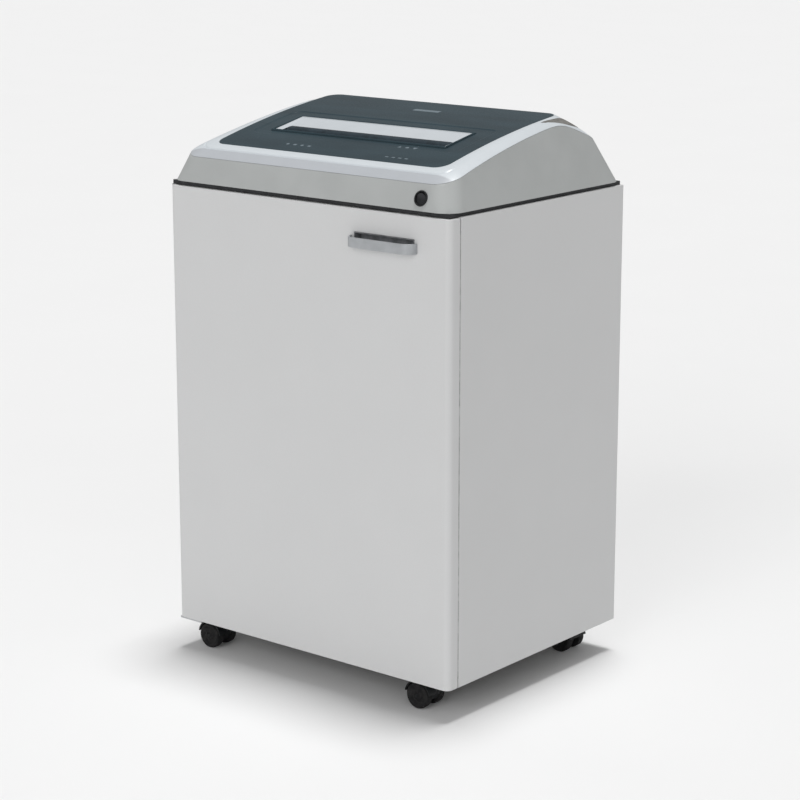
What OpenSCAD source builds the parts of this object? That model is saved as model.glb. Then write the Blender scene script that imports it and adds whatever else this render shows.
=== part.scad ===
// Office paper shredder: a laminated cabinet on casters, a hinged front door, and a moulded
// head over a steel cutting block with its motor and gear train.
// Frame: origin on the floor under the middle, +X right, +Y to the rear, +Z up, millimetres.

/* [Cabinet] */
// Overall width of the cabinet
cabinet_w = 540; // [500:10:640]
// Overall depth, from the door's face to the back panel's face
cabinet_d = 424; // [410:2:500]
// Height of the side panels
cabinet_h = 689; // [600:1:820]
// Thickness of the side, back and bottom boards
panel_t = 18; // [15:0.5:22]
// Height of the dark seam between the cabinet and the head
seam_h = 6; // [5:0.5:9]
// How far the seam frame is set back from the outer faces
seam_inset = 4; // [2:0.5:6]

/* [Door] */
// Thickness of the door slab
door_t = 23; // [19:0.5:25]
// Gap between the door's back and the side panels' front edges
door_gap = 2; // [1.5:0.25:3]
// Radius of the door's long front edges
door_edge_r = 10; // [4:0.5:12]
// Clearance over the door's top edge
door_top_gap = 1; // [0.6:0.1:2]
// Diameter of the hinge pins
pivot_d = 6; // [5:0.5:8]
// Distance of the hinge axis from the door's left edge
pivot_in = 5.5; // [5:0.25:7]
// Distance of the hinge axis from the door's front face
pivot_back = 7.5; // [7:0.25:9]

/* [Handle] */
// Width of the handle's scoop
handle_w = 122; // [100:2:160]
// Height of the scoop's front
scoop_h = 15; // [12:1:20]
// Distance of the scoop's front from the door's face
handle_reach = 17; // [12:1:24]
// Thickness of the scoop's walls
scoop_t = 2.2; // [1.8:0.1:3]
// Distance of the handle's centre from the door's right edge
handle_from_edge = 119; // [90:1:160]
// Distance of the pocket's upper edge below the seam's middle
handle_drop = 38; // [32:0.5:80]
// How far the pocket opens above the scoop's edge
finger_gap = 5; // [4:0.5:10]
// Depth of the finger pocket in the door
pocket_depth = 14; // [10:1:16]

/* [Head] */
// Height of the control panel's front edge over the head's base
head_front_h = 55; // [48:1:70]
// Height of the crest over the head's base
head_crest_h = 106; // [100:1:130]
// How far the top bulges over a straight line
head_bulge = 5.7; // [0:0.1:10]
// Distance of the crest from the back face
crest_from_back = 100; // [80:1:130]
// Height of the wall at the rear
rear_wall_h = 59; // [50:1:70]
// Corner radius at the head's base
head_corner_r = 28; // [20:1:36]
// Corner radius where the wall meets the rim
rim_corner_r = 36; // [30:1:44]
// Corner radius of the control panel
glass_corner_r = 20; // [12:1:28]
// Wall thickness of the head's shells
wall_t = 3; // [2:0.25:4]
// Plan distance from the head's sides to the control panel
rim_side = 50; // [44:1:60]
// Plan distance from the head's front to the control panel
rim_front = 46; // [40:1:60]

/* [Throat] */
// Width of the paper opening in the panel
throat_w = 330; // [320:2:360]
// Front to back size of the paper opening
throat_d = 66; // [60:1:72]
// Distance of the slot's middle behind the panel's front edge
slot_from_rim = 86; // [82:1:110]
// Distance of the slot's middle from the opening's front edge, and from the guide behind it
slot_from_edge = 11; // [9:0.5:14]
// Front to back width of the slot
slot_w = 9; // [8:0.5:12]
// Depth of the slot's mouth below the panel
slot_depth = 12; // [8:1:18]
// Depth of the guide's lower edge below the panel
guide_drop = 4; // [2:0.5:8]

/* [Cutters] */
// Width of one strip of paper
strip_w = 5.8; // [5:0.1:7]
// Number of discs on each shaft
disc_count = 27; // [20:1:28]
// Axial play between neighbouring discs
disc_play = 0.3; // [0.2:0.05:0.5]
// Overlap of the two rolls
disc_overlap = 4; // [2:0.5:5]
// Radial play between a disc and the other roll's core
core_play = 1; // [0.6:0.1:1.5]
// Diameter of the cutter shafts' journals
journal_d = 20; // [16:1:24]
// Height of the cutter shafts under the head's base
shaft_drop = 7; // [4:1:14]
// Thickness of the cutting block's side plates
plate_t = 8; // [6:1:10]

/* [Drive] */
// Module of the cutter gears
heavy_module = 2; // [1.75:0.25:2.25]
// Teeth on the two gears that couple the cutter rolls
sync_teeth = 19; // [18:1:22]
// Teeth on the large cutter gear
drive_teeth = 57; // [50:1:59]
// Teeth on the idler's small gear
idler_small_teeth = 16; // [16:1:18]
// Module of the motor gears
light_module = 1.5; // [1.25:0.25:1.5]
// Teeth on the idler's large gear
idler_large_teeth = 64; // [56:1:66]
// Teeth on the motor pinion
pinion_teeth = 16; // [16:1:18]
// Face width of the gears
gear_w = 12; // [9:1:14]
// Thinning of each tooth, so that meshed gears run free
backlash = 0.3; // [0.2:0.05:0.4]

/* [Motor] */
// Radius over the motor's cooling fins
motor_r = 52; // [44:1:54]
// Length of the motor's finned housing
motor_len = 118; // [90:1:140]
// Diameter of the motor's shaft
motor_shaft_d = 14; // [12:1:16]

/* [Bag] */
// Height of the bag's hoop above the bottom board
hoop_h = 545; // [450:5:560]
// Wire diameter of the hoop
hoop_d = 8; // [6:1:10]
// Free space between the bag and the cabinet's inside
bag_space = 22; // [18:1:40]

/* [Casters] */
// Height of the casters
caster_h = 50; // [50:1:60]
// Diameter of the caster wheels
wheel_d = 40; // [36:1:40]
// Width of one wheel
wheel_w = 14; // [10:1:16]
// Horizontal distance from the swivel pin to the axle
trail = 17; // [15:1:20]
// Distance of the front swivel pins from the middle, across
front_pin_x = 211; // [180:1:211]
// Distance of the rear swivel pins from the middle, across
rear_pin_x = 194; // [180:1:210]
// Distance of the swivel pins from the board's front and back edges
pin_inset = 19; // [18:1:40]

/* [Hidden] */
$fn = 48;

// Finishes
laminate = "#c4c4c2";
grey_plastic = "#a9adac";
light_plastic = "#d0d6da";
dark_plastic = "#202224";
panel_blue = "#4d5c68";
steel = "#9aa0a4";
zinc = "#b9bcc0";
circuit = "#2f5d3a";

// Levels and faces of the cabinet
z_bottom = caster_h;
z_panel_top = z_bottom + cabinet_h;
z_head = z_panel_top + seam_h;
x_out = cabinet_w / 2;
x_in = x_out - panel_t;
proud = 3;
y_front = (handle_reach - proud - cabinet_d) / 2;
y_back = y_front + cabinet_d;
y_case = y_front + door_t + door_gap;
y_in = y_back - panel_t;
fit = 0.05;      // radial clearance of a running shaft
touch = 0.2;     // gap between pieces that only sit beside each other

// Machine deck under the cutting block
deck_t = 3;
deck_drop = 74;
z_deck = z_panel_top - deck_drop;
z_deck_top = z_deck + deck_t;
rail_leg = 24;
rail_t = 2.5;

// Head: plan of the control panel, and heights as functions of y
glass_x = x_out - rim_side;
glass_front = y_front + rim_front;
y_crest = y_back - crest_from_back;
lean_side = 0.33;
lean_rear = 0.47;
rim_drop = 8.5;
rear_slope = 0.41;
blend_k = 6;
front_wall_h = top_height(y_front + lean_side * 38) - rim_drop;
wall_front = y_front + lean_side * front_wall_h;
wall_rear = y_back - lean_rear * rear_wall_h;
glass_t = 4;
seam_gap = 0.4;

function smooth_min(a, b, k) = -k * ln(exp(-a / k) + exp(-b / k));
function top_height(y) =
  let (t = (y - glass_front) / (y_crest - glass_front))
  head_front_h + (head_crest_h - head_front_h) * t + 4 * head_bulge * t * (1 - t);
function wall_height(y) = smooth_min(
  top_height(y) - rim_drop,
  rear_wall_h + rear_slope * (wall_rear - y),
  blend_k);

// Plan outline of a rounded rectangle with the same point count whatever its size
corner_steps = 6;
side_steps = 12;
function corner(cx, cy, r, a0) = [
  for (i = [0:corner_steps]) let (a = a0 + 90 * i / corner_steps) [cx + r * cos(a), cy + r * sin(a)]
];
function side(x, y0, y1) = [for (i = [1:side_steps - 1]) [x, y0 + (y1 - y0) * i / side_steps]];
function plan(a, yf, yb, r) = concat(
  corner(a - r, yb - r, r, 0),
  corner(-a + r, yb - r, r, 90),
  side(-a, yb - r, yf + r),
  corner(-a + r, yf + r, r, 180),
  corner(a - r, yf + r, r, 270),
  side(a, yf + r, yb - r)
);
function at_height(pts, z) = [for (p = pts) [p.x, p.y, z]];
function on_top(pts, dz) = [for (p = pts) [p.x, p.y, z_head + top_height(p.y) + dz]];
// The wall's upper edge, set in by inset: the walls lean, so its width follows its height
function on_wall(inset, dz) = [
  for (p = plan(x_out - inset, wall_front + inset, wall_rear - inset, rim_corner_r - inset))
  let (h = wall_height(p.y))
  [p.x - p.x / x_out * lean_side * h, p.y, z_head + h + dz]
];

// A closed solid through rings of points, joined ring to ring and back to the first
module ring_solid(rings) {
  n = len(rings[0]);
  m = len(rings);
  polyhedron(
    points = [for (r = rings) for (p = r) p],
    faces = [
      for (j = [0:m - 1]) for (i = [0:n - 1])
      let (a = j * n + i, b = j * n + (i + 1) % n,
           c = ((j + 1) % m) * n + (i + 1) % n, d = ((j + 1) % m) * n + i)
      each [[a, d, b], [b, d, c]]
    ]);
}

// Throat and cutting block
y_slot = glass_front + slot_from_rim;
y_guide = y_slot + slot_from_edge;
throat_front = y_slot - slot_from_edge;
throat_rear = throat_front + throat_d;
funnel_lip = 4;
funnel_rise = 1.2;
funnel_t = 2;
shaft_gap = heavy_module * sync_teeth;
roll_len = 2 * disc_count * strip_w;
plate_in = roll_len / 2 + 1.5;
plate_out = plate_in + plate_t;
y_shaft_front = y_slot - shaft_gap / 2;
y_shaft_rear = y_slot + shaft_gap / 2;
z_shaft = z_head - shaft_drop;
disc_r = (shaft_gap + disc_overlap) / 2;
core_r = shaft_gap - disc_r - core_play;
journal_r = journal_d / 2;
bush_r = journal_r + 3;
plate_top = z_shaft + disc_r + 14;
plate_front = y_shaft_front - disc_r - 22;
plate_rear = y_shaft_rear + disc_r + 22;
rod_r = 6;
rod_y = [plate_front + 10, plate_rear - 10];
rod_z = [z_deck_top + 22, plate_top - 10];

// Gear train: each stage's centre distance follows from its teeth
gear_x = plate_out + 4;
idler_x = gear_x + gear_w + 3;
heavy_centres = heavy_module * (drive_teeth + idler_small_teeth) / 2;
light_centres = light_module * (idler_large_teeth + pinion_teeth) / 2;
idler_angle = -10;
motor_angle = 0;
y_idler = y_shaft_rear + heavy_centres * cos(idler_angle);
z_idler = z_shaft + heavy_centres * sin(idler_angle);
y_motor = y_idler + light_centres * cos(motor_angle);
z_motor = z_idler + light_centres * sin(motor_angle);
idler_bore_r = 6;

// Motor, from its flange on the left plate towards the right
x_flange = -plate_in;
bell_t = 10;
cowl_len = 34;
cowl_t = 1.5;
motor_bearing_r = motor_shaft_d / 2 + fit;
stator_r = 30;
rotor_r = stator_r - 0.6;

// Bag and hoop
z_hoop = z_bottom + panel_t + hoop_h;
hoop_x = x_in - bag_space;
hoop_front = y_case + bag_space;
hoop_rear = y_in - bag_space;
hoop_corner = 14;
bag_t = 2;
bag_floor = 12;

// Door hinge and handle
z_door_top = z_panel_top - door_top_gap;
x_pivot = -x_out + pivot_in;
y_pivot = y_front + pivot_back;
pivot_r = pivot_d / 2;
bush_wall = 1.5;
bush_len = 16;
handle_x = x_out - handle_from_edge;
z_pocket_top = z_panel_top + seam_h / 2 - handle_drop;
z_scoop_top = z_pocket_top - finger_gap;
z_scoop = z_scoop_top - scoop_h;
scoop_end_r = handle_reach;

// Catch at the door's free edge
catch_x = x_in - 30;
catch_z = z_deck - 40;

// Mains switch in the head's front wall
switch_x = x_out - 56;
switch_h = 17;
switch_r = 11.5;
switch_hole_r = 10;
rocker_r = 8.2;
rocker_bore_r = 8.95;
rocker_pin_z = -3.2;
rocker_pin_r = 1.5;
switch_lean = atan(lean_side);
switch_y = y_front + lean_side * switch_h;

// Inlet and vent in the back panel
inlet_x = 150;
inlet_z = z_deck_top + 36;
inlet_w = 48;
inlet_h = 28;
vent_x = -90;
vent_z = z_deck_top + 34;
vent_w = 150;
vent_h = 44;

// Casters
z_axle = wheel_d / 2;
axle_r = 3;
web_w = 14;
hood_t = 2;
hood_r = wheel_d / 2 + 1.6;
stem_r = 4;
flange_r = 12;
front_pin_y = y_case + pin_inset;
rear_pin_y = y_in - pin_inset - 9;
caster_places = [
  [-front_pin_x, front_pin_y, 180],
  [front_pin_x, front_pin_y, 180],
  [-rear_pin_x, rear_pin_y, 180],
  [rear_pin_x, rear_pin_y, 0]
];

// ---- shared shapes ----

module box(x0, x1, y0, y1, z0, z1) {
  translate([x0, y0, z0]) cube([x1 - x0, y1 - y0, z1 - z0]);
}

// A bar along X from x0 to x1
module x_rod(x0, x1, y, z, r) {
  translate([x0, y, z]) rotate([0, 90, 0]) cylinder(h = x1 - x0, r = r);
}

// A flat shape drawn in the Y-Z plane and pushed along X from x0 to x1
module x_slab(x0, x1) {
  translate([x0, 0, 0]) rotate([90, 0, 90]) linear_extrude(x1 - x0) children();
}

module rounded_square(w, d, r) {
  square([w - 2 * r, d], center = true);
  square([w, d - 2 * r], center = true);
  for (sx = [-1, 1]) for (sy = [-1, 1]) translate([sx * (w / 2 - r), sy * (d / 2 - r)]) circle(r);
}

function involute(base_r, t) = [
  base_r * (cos(t) + t * PI / 180 * sin(t)),
  base_r * (sin(t) - t * PI / 180 * cos(t))
];
function roll_at(base_r, r) = r <= base_r ? 0 : sqrt(pow(r / base_r, 2) - 1) * 180 / PI;
function turned(p, a) = [p.x * cos(a) - p.y * sin(a), p.x * sin(a) + p.y * cos(a)];
function polar_angle(p) = atan2(p.y, p.x);
// Outline of a spur gear with a tooth centred on angle phase
function gear_outline(m, teeth, phase) =
  let (
    pitch_r = m * teeth / 2,
    base_r = pitch_r * cos(20),
    tip_r = pitch_r + m,
    root_r = pitch_r - 1.25 * m,
    half = 90 / teeth - 90 * backlash / (PI * pitch_r),
    at_pitch = polar_angle(involute(base_r, roll_at(base_r, pitch_r))),
    steps = 3,
    start_r = max(base_r, root_r),
    flank = [
      for (i = [0:steps])
      let (r = start_r + (tip_r - start_r) * i / steps)
      turned(involute(base_r, roll_at(base_r, r)), -half - at_pitch)
    ],
    root = root_r < base_r ? [turned([root_r, 0], polar_angle(flank[0]))] : []
  )
  [
    for (k = [0:teeth - 1]) let (a = phase + 360 * k / teeth)
    each concat(
      [for (p = concat(root, flank)) turned(p, a)],
      [for (i = [steps:-1:0]) turned([flank[i].x, -flank[i].y], a)],
      [for (p = root) turned([p.x, -p.y], a)]
    )
  ];

module gear(x0, x1, y, z, m, teeth, phase, bore_r) {
  translate([x0, y, z]) rotate([90, 0, 90]) difference() {
    linear_extrude(x1 - x0) polygon(gear_outline(m, teeth, phase));
    translate([0, 0, -1]) cylinder(h = x1 - x0 + 2, r = bore_r);
  }
}

// ---- cabinet ----

module side_panel(s) {
  x0 = s > 0 ? x_in : -x_out;
  color(laminate) box(x0, x0 + panel_t, y_case, y_back, z_bottom, z_panel_top);
}

module back_panel() {
  color(laminate) difference() {
    box(-x_in, x_in, y_in, y_back, z_bottom, z_panel_top);
    box(inlet_x - inlet_w / 2, inlet_x + inlet_w / 2, y_in - 1, y_back + 1,
      inlet_z - inlet_h / 2, inlet_z + inlet_h / 2);
    box(vent_x - vent_w / 2, vent_x + vent_w / 2, y_in - 1, y_back + 1,
      vent_z - vent_h / 2, vent_z + vent_h / 2);
  }
}

module bottom_panel() {
  color(laminate) difference() {
    box(-x_in, x_in, y_case, y_in, z_bottom, z_bottom + panel_t);
    for (p = caster_places) translate([p.x, p.y, z_bottom - 1])
      cylinder(h = panel_t + 2, r = stem_r + 1 + fit);
  }
}

outlet_x = plate_in - 4;
outlet_front = y_shaft_front - disc_r - 4;
outlet_rear = y_shaft_rear + disc_r + 4;
drive_tip_r = heavy_module * (drive_teeth + 2) / 2;

module deck_plate() {
  color(zinc) difference() {
    box(-x_in + touch, x_in - touch, y_case + 4, y_in - touch, z_deck, z_deck_top);
    box(-outlet_x, outlet_x, outlet_front, outlet_rear, z_deck - 1, z_deck_top + 1);
    // Room for the large gear, where it reaches down to the deck
    x_rod(-gear_x - gear_w - 2, -gear_x + 2, y_shaft_rear, z_shaft, drive_tip_r + 2);
  }
}

// Two steel angles that carry the deck
module deck_rails() {
  color(zinc) for (s = [-1, 1]) {
    x_wall = s > 0 ? x_in - rail_t : -x_in;
    x_leg = s > 0 ? x_in - rail_leg : -x_in;
    box(x_wall, x_wall + rail_t, y_case + 6, y_in - 2, z_deck - rail_leg, z_deck);
    box(x_leg, x_leg + rail_leg, y_case + 6, y_in - 2, z_deck - rail_t, z_deck);
  }
}

seam_rail = 20;
module seam_frame() {
  color(dark_plastic) difference() {
    box(-x_out + seam_inset, x_out - seam_inset,
      y_front + seam_inset, y_back - seam_inset, z_panel_top, z_head);
    box(-x_out + seam_inset + seam_rail, x_out - seam_inset - seam_rail,
      y_case + seam_rail - 4, y_back - seam_inset - seam_rail, z_panel_top - 1, z_head + 1);
    translate([x_pivot, y_pivot, z_panel_top - 1]) cylinder(h = seam_h + 2, r = pivot_r);
  }
}

// The upper hinge pin, and the steel bracket that carries the lower one
bracket_t = 3;
bracket_w = 26;
module door_pivots() {
  color(steel) translate([x_pivot, y_pivot, z_door_top - bush_len])
    cylinder(h = z_head - z_door_top + bush_len, r = pivot_r);
  color(steel) difference() {
    union() {
      box(-x_in + 2, -x_in + 2 + bracket_w, y_case + 2, y_case + 36, z_bottom - bracket_t, z_bottom);
      box(x_pivot - 5, -x_in + 2 + bracket_w, y_pivot - 5, y_case + 8, z_bottom - bracket_t, z_bottom);
      translate([x_pivot, y_pivot, z_bottom - bracket_t]) cylinder(h = bracket_t + bush_len, r = pivot_r);
    }
    for (p = bracket_holes) translate([p.x, p.y, z_bottom - bracket_t - 1])
      cylinder(h = bracket_t + 2, r = screw_r + fit);
  }
}

// Catch body on a foot, with two pole pieces towards the door
module magnet_catch() {
  color(dark_plastic) box(catch_x - 22, catch_x + 22, y_case + 1, y_case + 17, catch_z - 9, catch_z + 9);
  color(dark_plastic) box(catch_x + 22, x_in, y_case + 1, y_case + 12, catch_z - 12, catch_z + 12);
  color(steel) for (s = [-1, 1]) let (x = catch_x + s * 10)
    box(x - 4, x + 4, y_case - 0.5, y_case + 1, catch_z - 7, catch_z + 7);
}

module door_sensor() {
  color(dark_plastic) box(-x_in, -x_in + 16, y_case + 4, y_case + 34, catch_z - 8, catch_z + 8);
}

module vent_grille() {
  bars = 7;
  frame_w = 6;
  pitch = (vent_h - 2 * frame_w) / bars;
  color(dark_plastic) difference() {
    union() {
      box(vent_x - vent_w / 2 - 6, vent_x + vent_w / 2 + 6, y_back, y_back + proud,
        vent_z - vent_h / 2 - 6, vent_z + vent_h / 2 + 6);
      box(vent_x - vent_w / 2 + touch, vent_x + vent_w / 2 - touch, y_back - 6, y_back,
        vent_z - vent_h / 2 + touch, vent_z + vent_h / 2 - touch);
    }
    for (i = [0:bars - 1]) let (z = vent_z - vent_h / 2 + frame_w + (i + 0.25) * pitch)
      box(vent_x - vent_w / 2 + frame_w, vent_x + vent_w / 2 - frame_w,
        y_back - 7, y_back + proud + 1, z, z + pitch / 2);
  }
}

module power_inlet() {
  color(dark_plastic) difference() {
    union() {
      box(inlet_x - inlet_w / 2 - 5, inlet_x + inlet_w / 2 + 5, y_back, y_back + proud,
        inlet_z - inlet_h / 2 - 4, inlet_z + inlet_h / 2 + 4);
      box(inlet_x - inlet_w / 2 + touch, inlet_x + inlet_w / 2 - touch, y_in - 8, y_back,
        inlet_z - inlet_h / 2 + touch, inlet_z + inlet_h / 2 - touch);
    }
    box(inlet_x - 12.5, inlet_x + 12.5, y_back - 17, y_back + proud + 1, inlet_z - 8.5, inlet_z + 8.5);
  }
  color(steel) for (dx = [-7, 0, 7])
    box(inlet_x + dx - 1, inlet_x + dx + 1, y_back - 17, y_back - 2, inlet_z - 2, inlet_z + 2);
}

// ---- head ----

module head_cover() {
  color(grey_plastic) difference() {
    ring_solid([
      at_height(plan(x_out, y_front, y_back, head_corner_r), z_head),
      on_wall(0, -seam_gap),
      on_wall(wall_t, -seam_gap),
      at_height(plan(x_out - wall_t, y_front + wall_t, y_back - wall_t, head_corner_r - wall_t), z_head)
    ]);
    switch_place() cylinder(h = 30, r = switch_hole_r + touch, center = true);
  }
}

module head_rim() {
  color(light_plastic) ring_solid([
    on_wall(0, 0),
    on_top(plan(glass_x, glass_front, y_crest, glass_corner_r), 0),
    on_top(plan(glass_x, glass_front, y_crest, glass_corner_r), -glass_t),
    on_wall(wall_t + touch, -wall_t),
    on_wall(wall_t + touch, 0)
  ]);
}

profile_steps = 20;
module top_profile(low, high) {
  ys = [for (i = [0:profile_steps]) glass_front - 1 + (y_crest - glass_front + 2) * i / profile_steps];
  polygon(concat(
    [for (y = ys) [y, z_head + top_height(y) + high]],
    [for (i = [profile_steps:-1:0]) [ys[i], z_head + top_height(ys[i]) + low]]
  ));
}

module control_panel() {
  mid = (glass_front + y_crest) / 2;
  color(panel_blue) intersection() {
    x_slab(-glass_x, glass_x) top_profile(-glass_t, 0);
    difference() {
      translate([0, mid, z_head]) linear_extrude(head_crest_h + 20)
        rounded_square(2 * (glass_x - touch), y_crest - glass_front - 2 * touch, glass_corner_r);
      box(-throat_w / 2 - funnel_lip, throat_w / 2 + funnel_lip,
        throat_front - funnel_lip, throat_rear + funnel_lip, z_head - 1, z_head + head_crest_h + 30);
    }
  }
}

function rect_ring(a, y0, y1, z0, z1) = [[a, y1, z1], [-a, y1, z1], [-a, y0, z0], [a, y0, z0]];
// Guide behind the slot, the slot's throat, and the lip that rests on the panel
module throat_funnel() {
  a = throat_w / 2;
  z_front = z_head + top_height(throat_front);
  z_rear = z_head + top_height(throat_rear);
  z_guide = z_head + top_height(y_guide) - guide_drop;
  slot_a = a - 9;
  sy0 = y_slot - slot_w / 2;
  sy1 = y_slot + slot_w / 2;
  z_slot = z_front - slot_depth;
  z_low = z_shaft + disc_r + 5;
  lip = funnel_lip - touch;
  t = funnel_t;
  color(light_plastic) ring_solid([
    rect_ring(a + lip, throat_front - lip, throat_rear + lip,
      z_front + funnel_rise, z_rear + funnel_rise),
    rect_ring(a, throat_front, throat_rear, z_front + funnel_rise, z_rear + funnel_rise),
    rect_ring(a - 2, throat_front + 2, y_guide, z_front - 2, z_guide),
    rect_ring(slot_a, sy0, sy1, z_slot, z_slot),
    rect_ring(slot_a, sy0, sy1, z_low, z_low),
    rect_ring(slot_a + t, sy0 - t, sy1 + t, z_low, z_low),
    rect_ring(slot_a + t, sy0 - t, sy1 + t, z_slot - 2, z_slot - 2),
    rect_ring(a, throat_front - 1, y_guide + 2, z_front - 5, z_guide - 3),
    rect_ring(a + lip, throat_front - lip, throat_rear + lip, z_front - glass_t, z_rear - glass_t)
  ]);
}

board_t = 1.6;
module control_board() {
  y0 = glass_front + 10;
  y1 = throat_front - 12;
  slope = atan((top_height(y1) - top_height(y0)) / (y1 - y0));
  color(circuit) translate([0, y0, z_head + top_height(y0) - glass_t - 12]) rotate([slope, 0, 0]) {
    translate([-105, 0, 0]) cube([210, y1 - y0, board_t]);
    for (x = [-80:40:80]) translate([x - 8, 8, board_t]) cube([16, 14, 4]);
  }
}

// Light-gate pair that sees paper in the slot
module paper_sensors() {
  z0 = z_shaft + disc_r + 10;
  wall = slot_w / 2 + funnel_t;
  color(dark_plastic) for (s = [-1, 1])
    translate([-9, s > 0 ? y_slot + wall : y_slot - wall - 9, z0]) cube([18, 9, 12]);
}

module switch_place() {
  translate([switch_x, switch_y, z_head + switch_h]) rotate([90 - switch_lean, 0, 0]) children();
}

module switch_bezel() {
  color(dark_plastic) switch_place() difference() {
    union() {
      translate([0, 0, -14]) cylinder(h = 14.2, r = switch_hole_r);
      translate([0, 0, 0.2]) cylinder(h = 1.8, r = switch_r);
    }
    translate([0, 0, -10]) cylinder(h = 14, r = rocker_bore_r);
    translate([-switch_hole_r - 1, 0, rocker_pin_z]) rotate([0, 90, 0])
      cylinder(h = 2 * switch_hole_r + 2, r = rocker_pin_r + 0.06);
  }
}

rocker_rest = 10;
module switch_rocker() {
  color("#2b2d2f") switch_place() translate([0, 0, rocker_pin_z]) rotate([rocker_rest, 0, 0]) {
    intersection() {
      translate([0, 0, -4]) cylinder(h = 10, r = rocker_r);
      translate([-rocker_r, 0, 0]) rotate([90, 0, 90]) linear_extrude(2 * rocker_r) polygon([
        [-7.6, 1.2], [-3, -3], [3, -3], [7.6, 1.2], [8.2, 4.2], [0, 2.8], [-8.2, 4.2]
      ]);
    }
    translate([-switch_hole_r + 0.4, 0, 0]) rotate([0, 90, 0])
      cylinder(h = 2 * switch_hole_r - 0.8, r = rocker_pin_r);
  }
}

// ---- cutting block ----

module plate_outline(rear) {
  polygon([
    [plate_front, z_deck_top], [rear, z_deck_top], [rear, plate_top - 18], [rear - 14, plate_top],
    [plate_front + 14, plate_top], [plate_front, plate_top - 14]
  ]);
}

module plate_bores(x0, x1) {
  for (y = [y_shaft_front, y_shaft_rear]) x_rod(x0 - 1, x1 + 1, y, z_shaft, bush_r);
  for (y = rod_y) for (z = rod_z) x_rod(x0 - 1, x1 + 1, y, z, rod_r - 2);
}

module cutter_plate_right() {
  color(steel) difference() {
    x_slab(plate_in, plate_out) plate_outline(plate_rear);
    plate_bores(plate_in, plate_out);
  }
}

module cutter_plate_left() {
  color(steel) difference() {
    x_slab(-plate_out, -plate_in) plate_outline(y_motor + motor_r + 6);
    plate_bores(-plate_out, -plate_in);
    x_rod(-plate_out - 1, -plate_in + 1, y_idler, z_idler, idler_bore_r);
    x_rod(-plate_out - 1, -plate_in + 1, y_motor, z_motor, 16);
  }
}

module tie_rods() {
  color(zinc) for (y = rod_y) for (z = rod_z) {
    x_rod(-plate_in, plate_in, y, z, rod_r);
    x_rod(-plate_out - 3, plate_out + 3, y, z, rod_r - 2);
    for (s = [-1, 1]) translate([s > 0 ? plate_out : -plate_out - 3, y, z])
      rotate([0, 90, 0]) cylinder(h = 3, r = 7, $fn = 6);
  }
}

module shaft_bearings() {
  color("#b08d4a") for (s = [-1, 1]) for (y = [y_shaft_front, y_shaft_rear]) difference() {
    x_rod(s > 0 ? plate_in : -plate_out, s > 0 ? plate_out : -plate_in, y, z_shaft, bush_r);
    x_rod(-plate_out - 2, plate_out + 2, y, z_shaft, journal_r + fit);
  }
}

disc_w = strip_w - disc_play;
// One roll: discs of strip width with grooves between them, turned from one bar
module cutter_roll(y, shift, x_left, x_right) {
  color(steel) translate([0, y, z_shaft]) rotate([0, 90, 0]) {
    rotate_extrude() polygon(concat(
      [[0, -roll_len / 2], [core_r, -roll_len / 2]],
      [for (i = [0:disc_count - 1])
        let (x = -roll_len / 2 + (2 * i + shift + 0.5) * strip_w)
        each [
          [core_r, x - disc_w / 2], [disc_r, x - disc_w / 2],
          [disc_r, x + disc_w / 2], [core_r, x + disc_w / 2]
        ]],
      [[core_r, roll_len / 2], [0, roll_len / 2]]
    ));
    translate([0, 0, x_left]) cylinder(h = x_right - x_left, r = journal_r);
  }
}

module front_cutter_roll() { cutter_roll(y_shaft_front, 0, -plate_out - 3, gear_x + gear_w); }
module rear_cutter_roll() { cutter_roll(y_shaft_rear, 1, -gear_x - gear_w, gear_x + gear_w); }

// Stripper comb: a bar with one finger in each groove of its roll
module comb(y, side, shift) {
  finger_w = strip_w - 1.3;
  bar_in = disc_r + 3;
  color(zinc) translate([0, y, z_shaft]) {
    x_slab(-plate_in, plate_in) translate([side > 0 ? bar_in : -bar_in - 6, -20])
      square([6, disc_r - 3 + 20]);
    for (i = [0:disc_count - 1]) let (x = -roll_len / 2 + (2 * i + 1 - shift + 0.5) * strip_w)
      x_slab(x - finger_w / 2, x + finger_w / 2) difference() {
        translate([side > 0 ? 4 : -bar_in - 1, -15]) square([bar_in - 3, 30]);
        circle(core_r + 0.6);
        translate([side > 0 ? 4 : -12, -core_r]) square([8, 2 * core_r]);
      }
  }
}
module front_comb() { comb(y_shaft_front, -1, 0); }
module rear_comb() { comb(y_shaft_rear, 1, 1); }

module front_sync_gear() {
  color(steel) gear(gear_x, gear_x + gear_w, y_shaft_front, z_shaft, heavy_module, sync_teeth,
    180 / sync_teeth, journal_r);
}
module rear_sync_gear() {
  color(steel) gear(gear_x, gear_x + gear_w, y_shaft_rear, z_shaft, heavy_module, sync_teeth,
    180, journal_r);
}
module drive_gear() {
  color(steel) gear(-gear_x - gear_w, -gear_x, y_shaft_rear, z_shaft, heavy_module, drive_teeth,
    idler_angle, journal_r);
}
module idler_gear() {
  color(steel) {
    gear(-gear_x - gear_w - 1, -gear_x + 1, y_idler, z_idler, heavy_module, idler_small_teeth,
      idler_angle + 180 + 180 / idler_small_teeth, idler_bore_r + fit);
    difference() {
      x_rod(-idler_x, -gear_x - gear_w - 1, y_idler, z_idler, idler_bore_r + 4);
      x_rod(-idler_x - 1, -gear_x - gear_w, y_idler, z_idler, idler_bore_r + fit);
    }
    gear(-idler_x - gear_w, -idler_x, y_idler, z_idler, light_module, idler_large_teeth,
      motor_angle, idler_bore_r + fit);
  }
}
module idler_axle() {
  color(steel) {
    x_rod(-idler_x - gear_w - 6, -plate_in, y_idler, z_idler, idler_bore_r);
    x_rod(-idler_x - gear_w - 6, -idler_x - gear_w - 2, y_idler, z_idler, idler_bore_r + 4);
  }
}

// ---- motor ----

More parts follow.
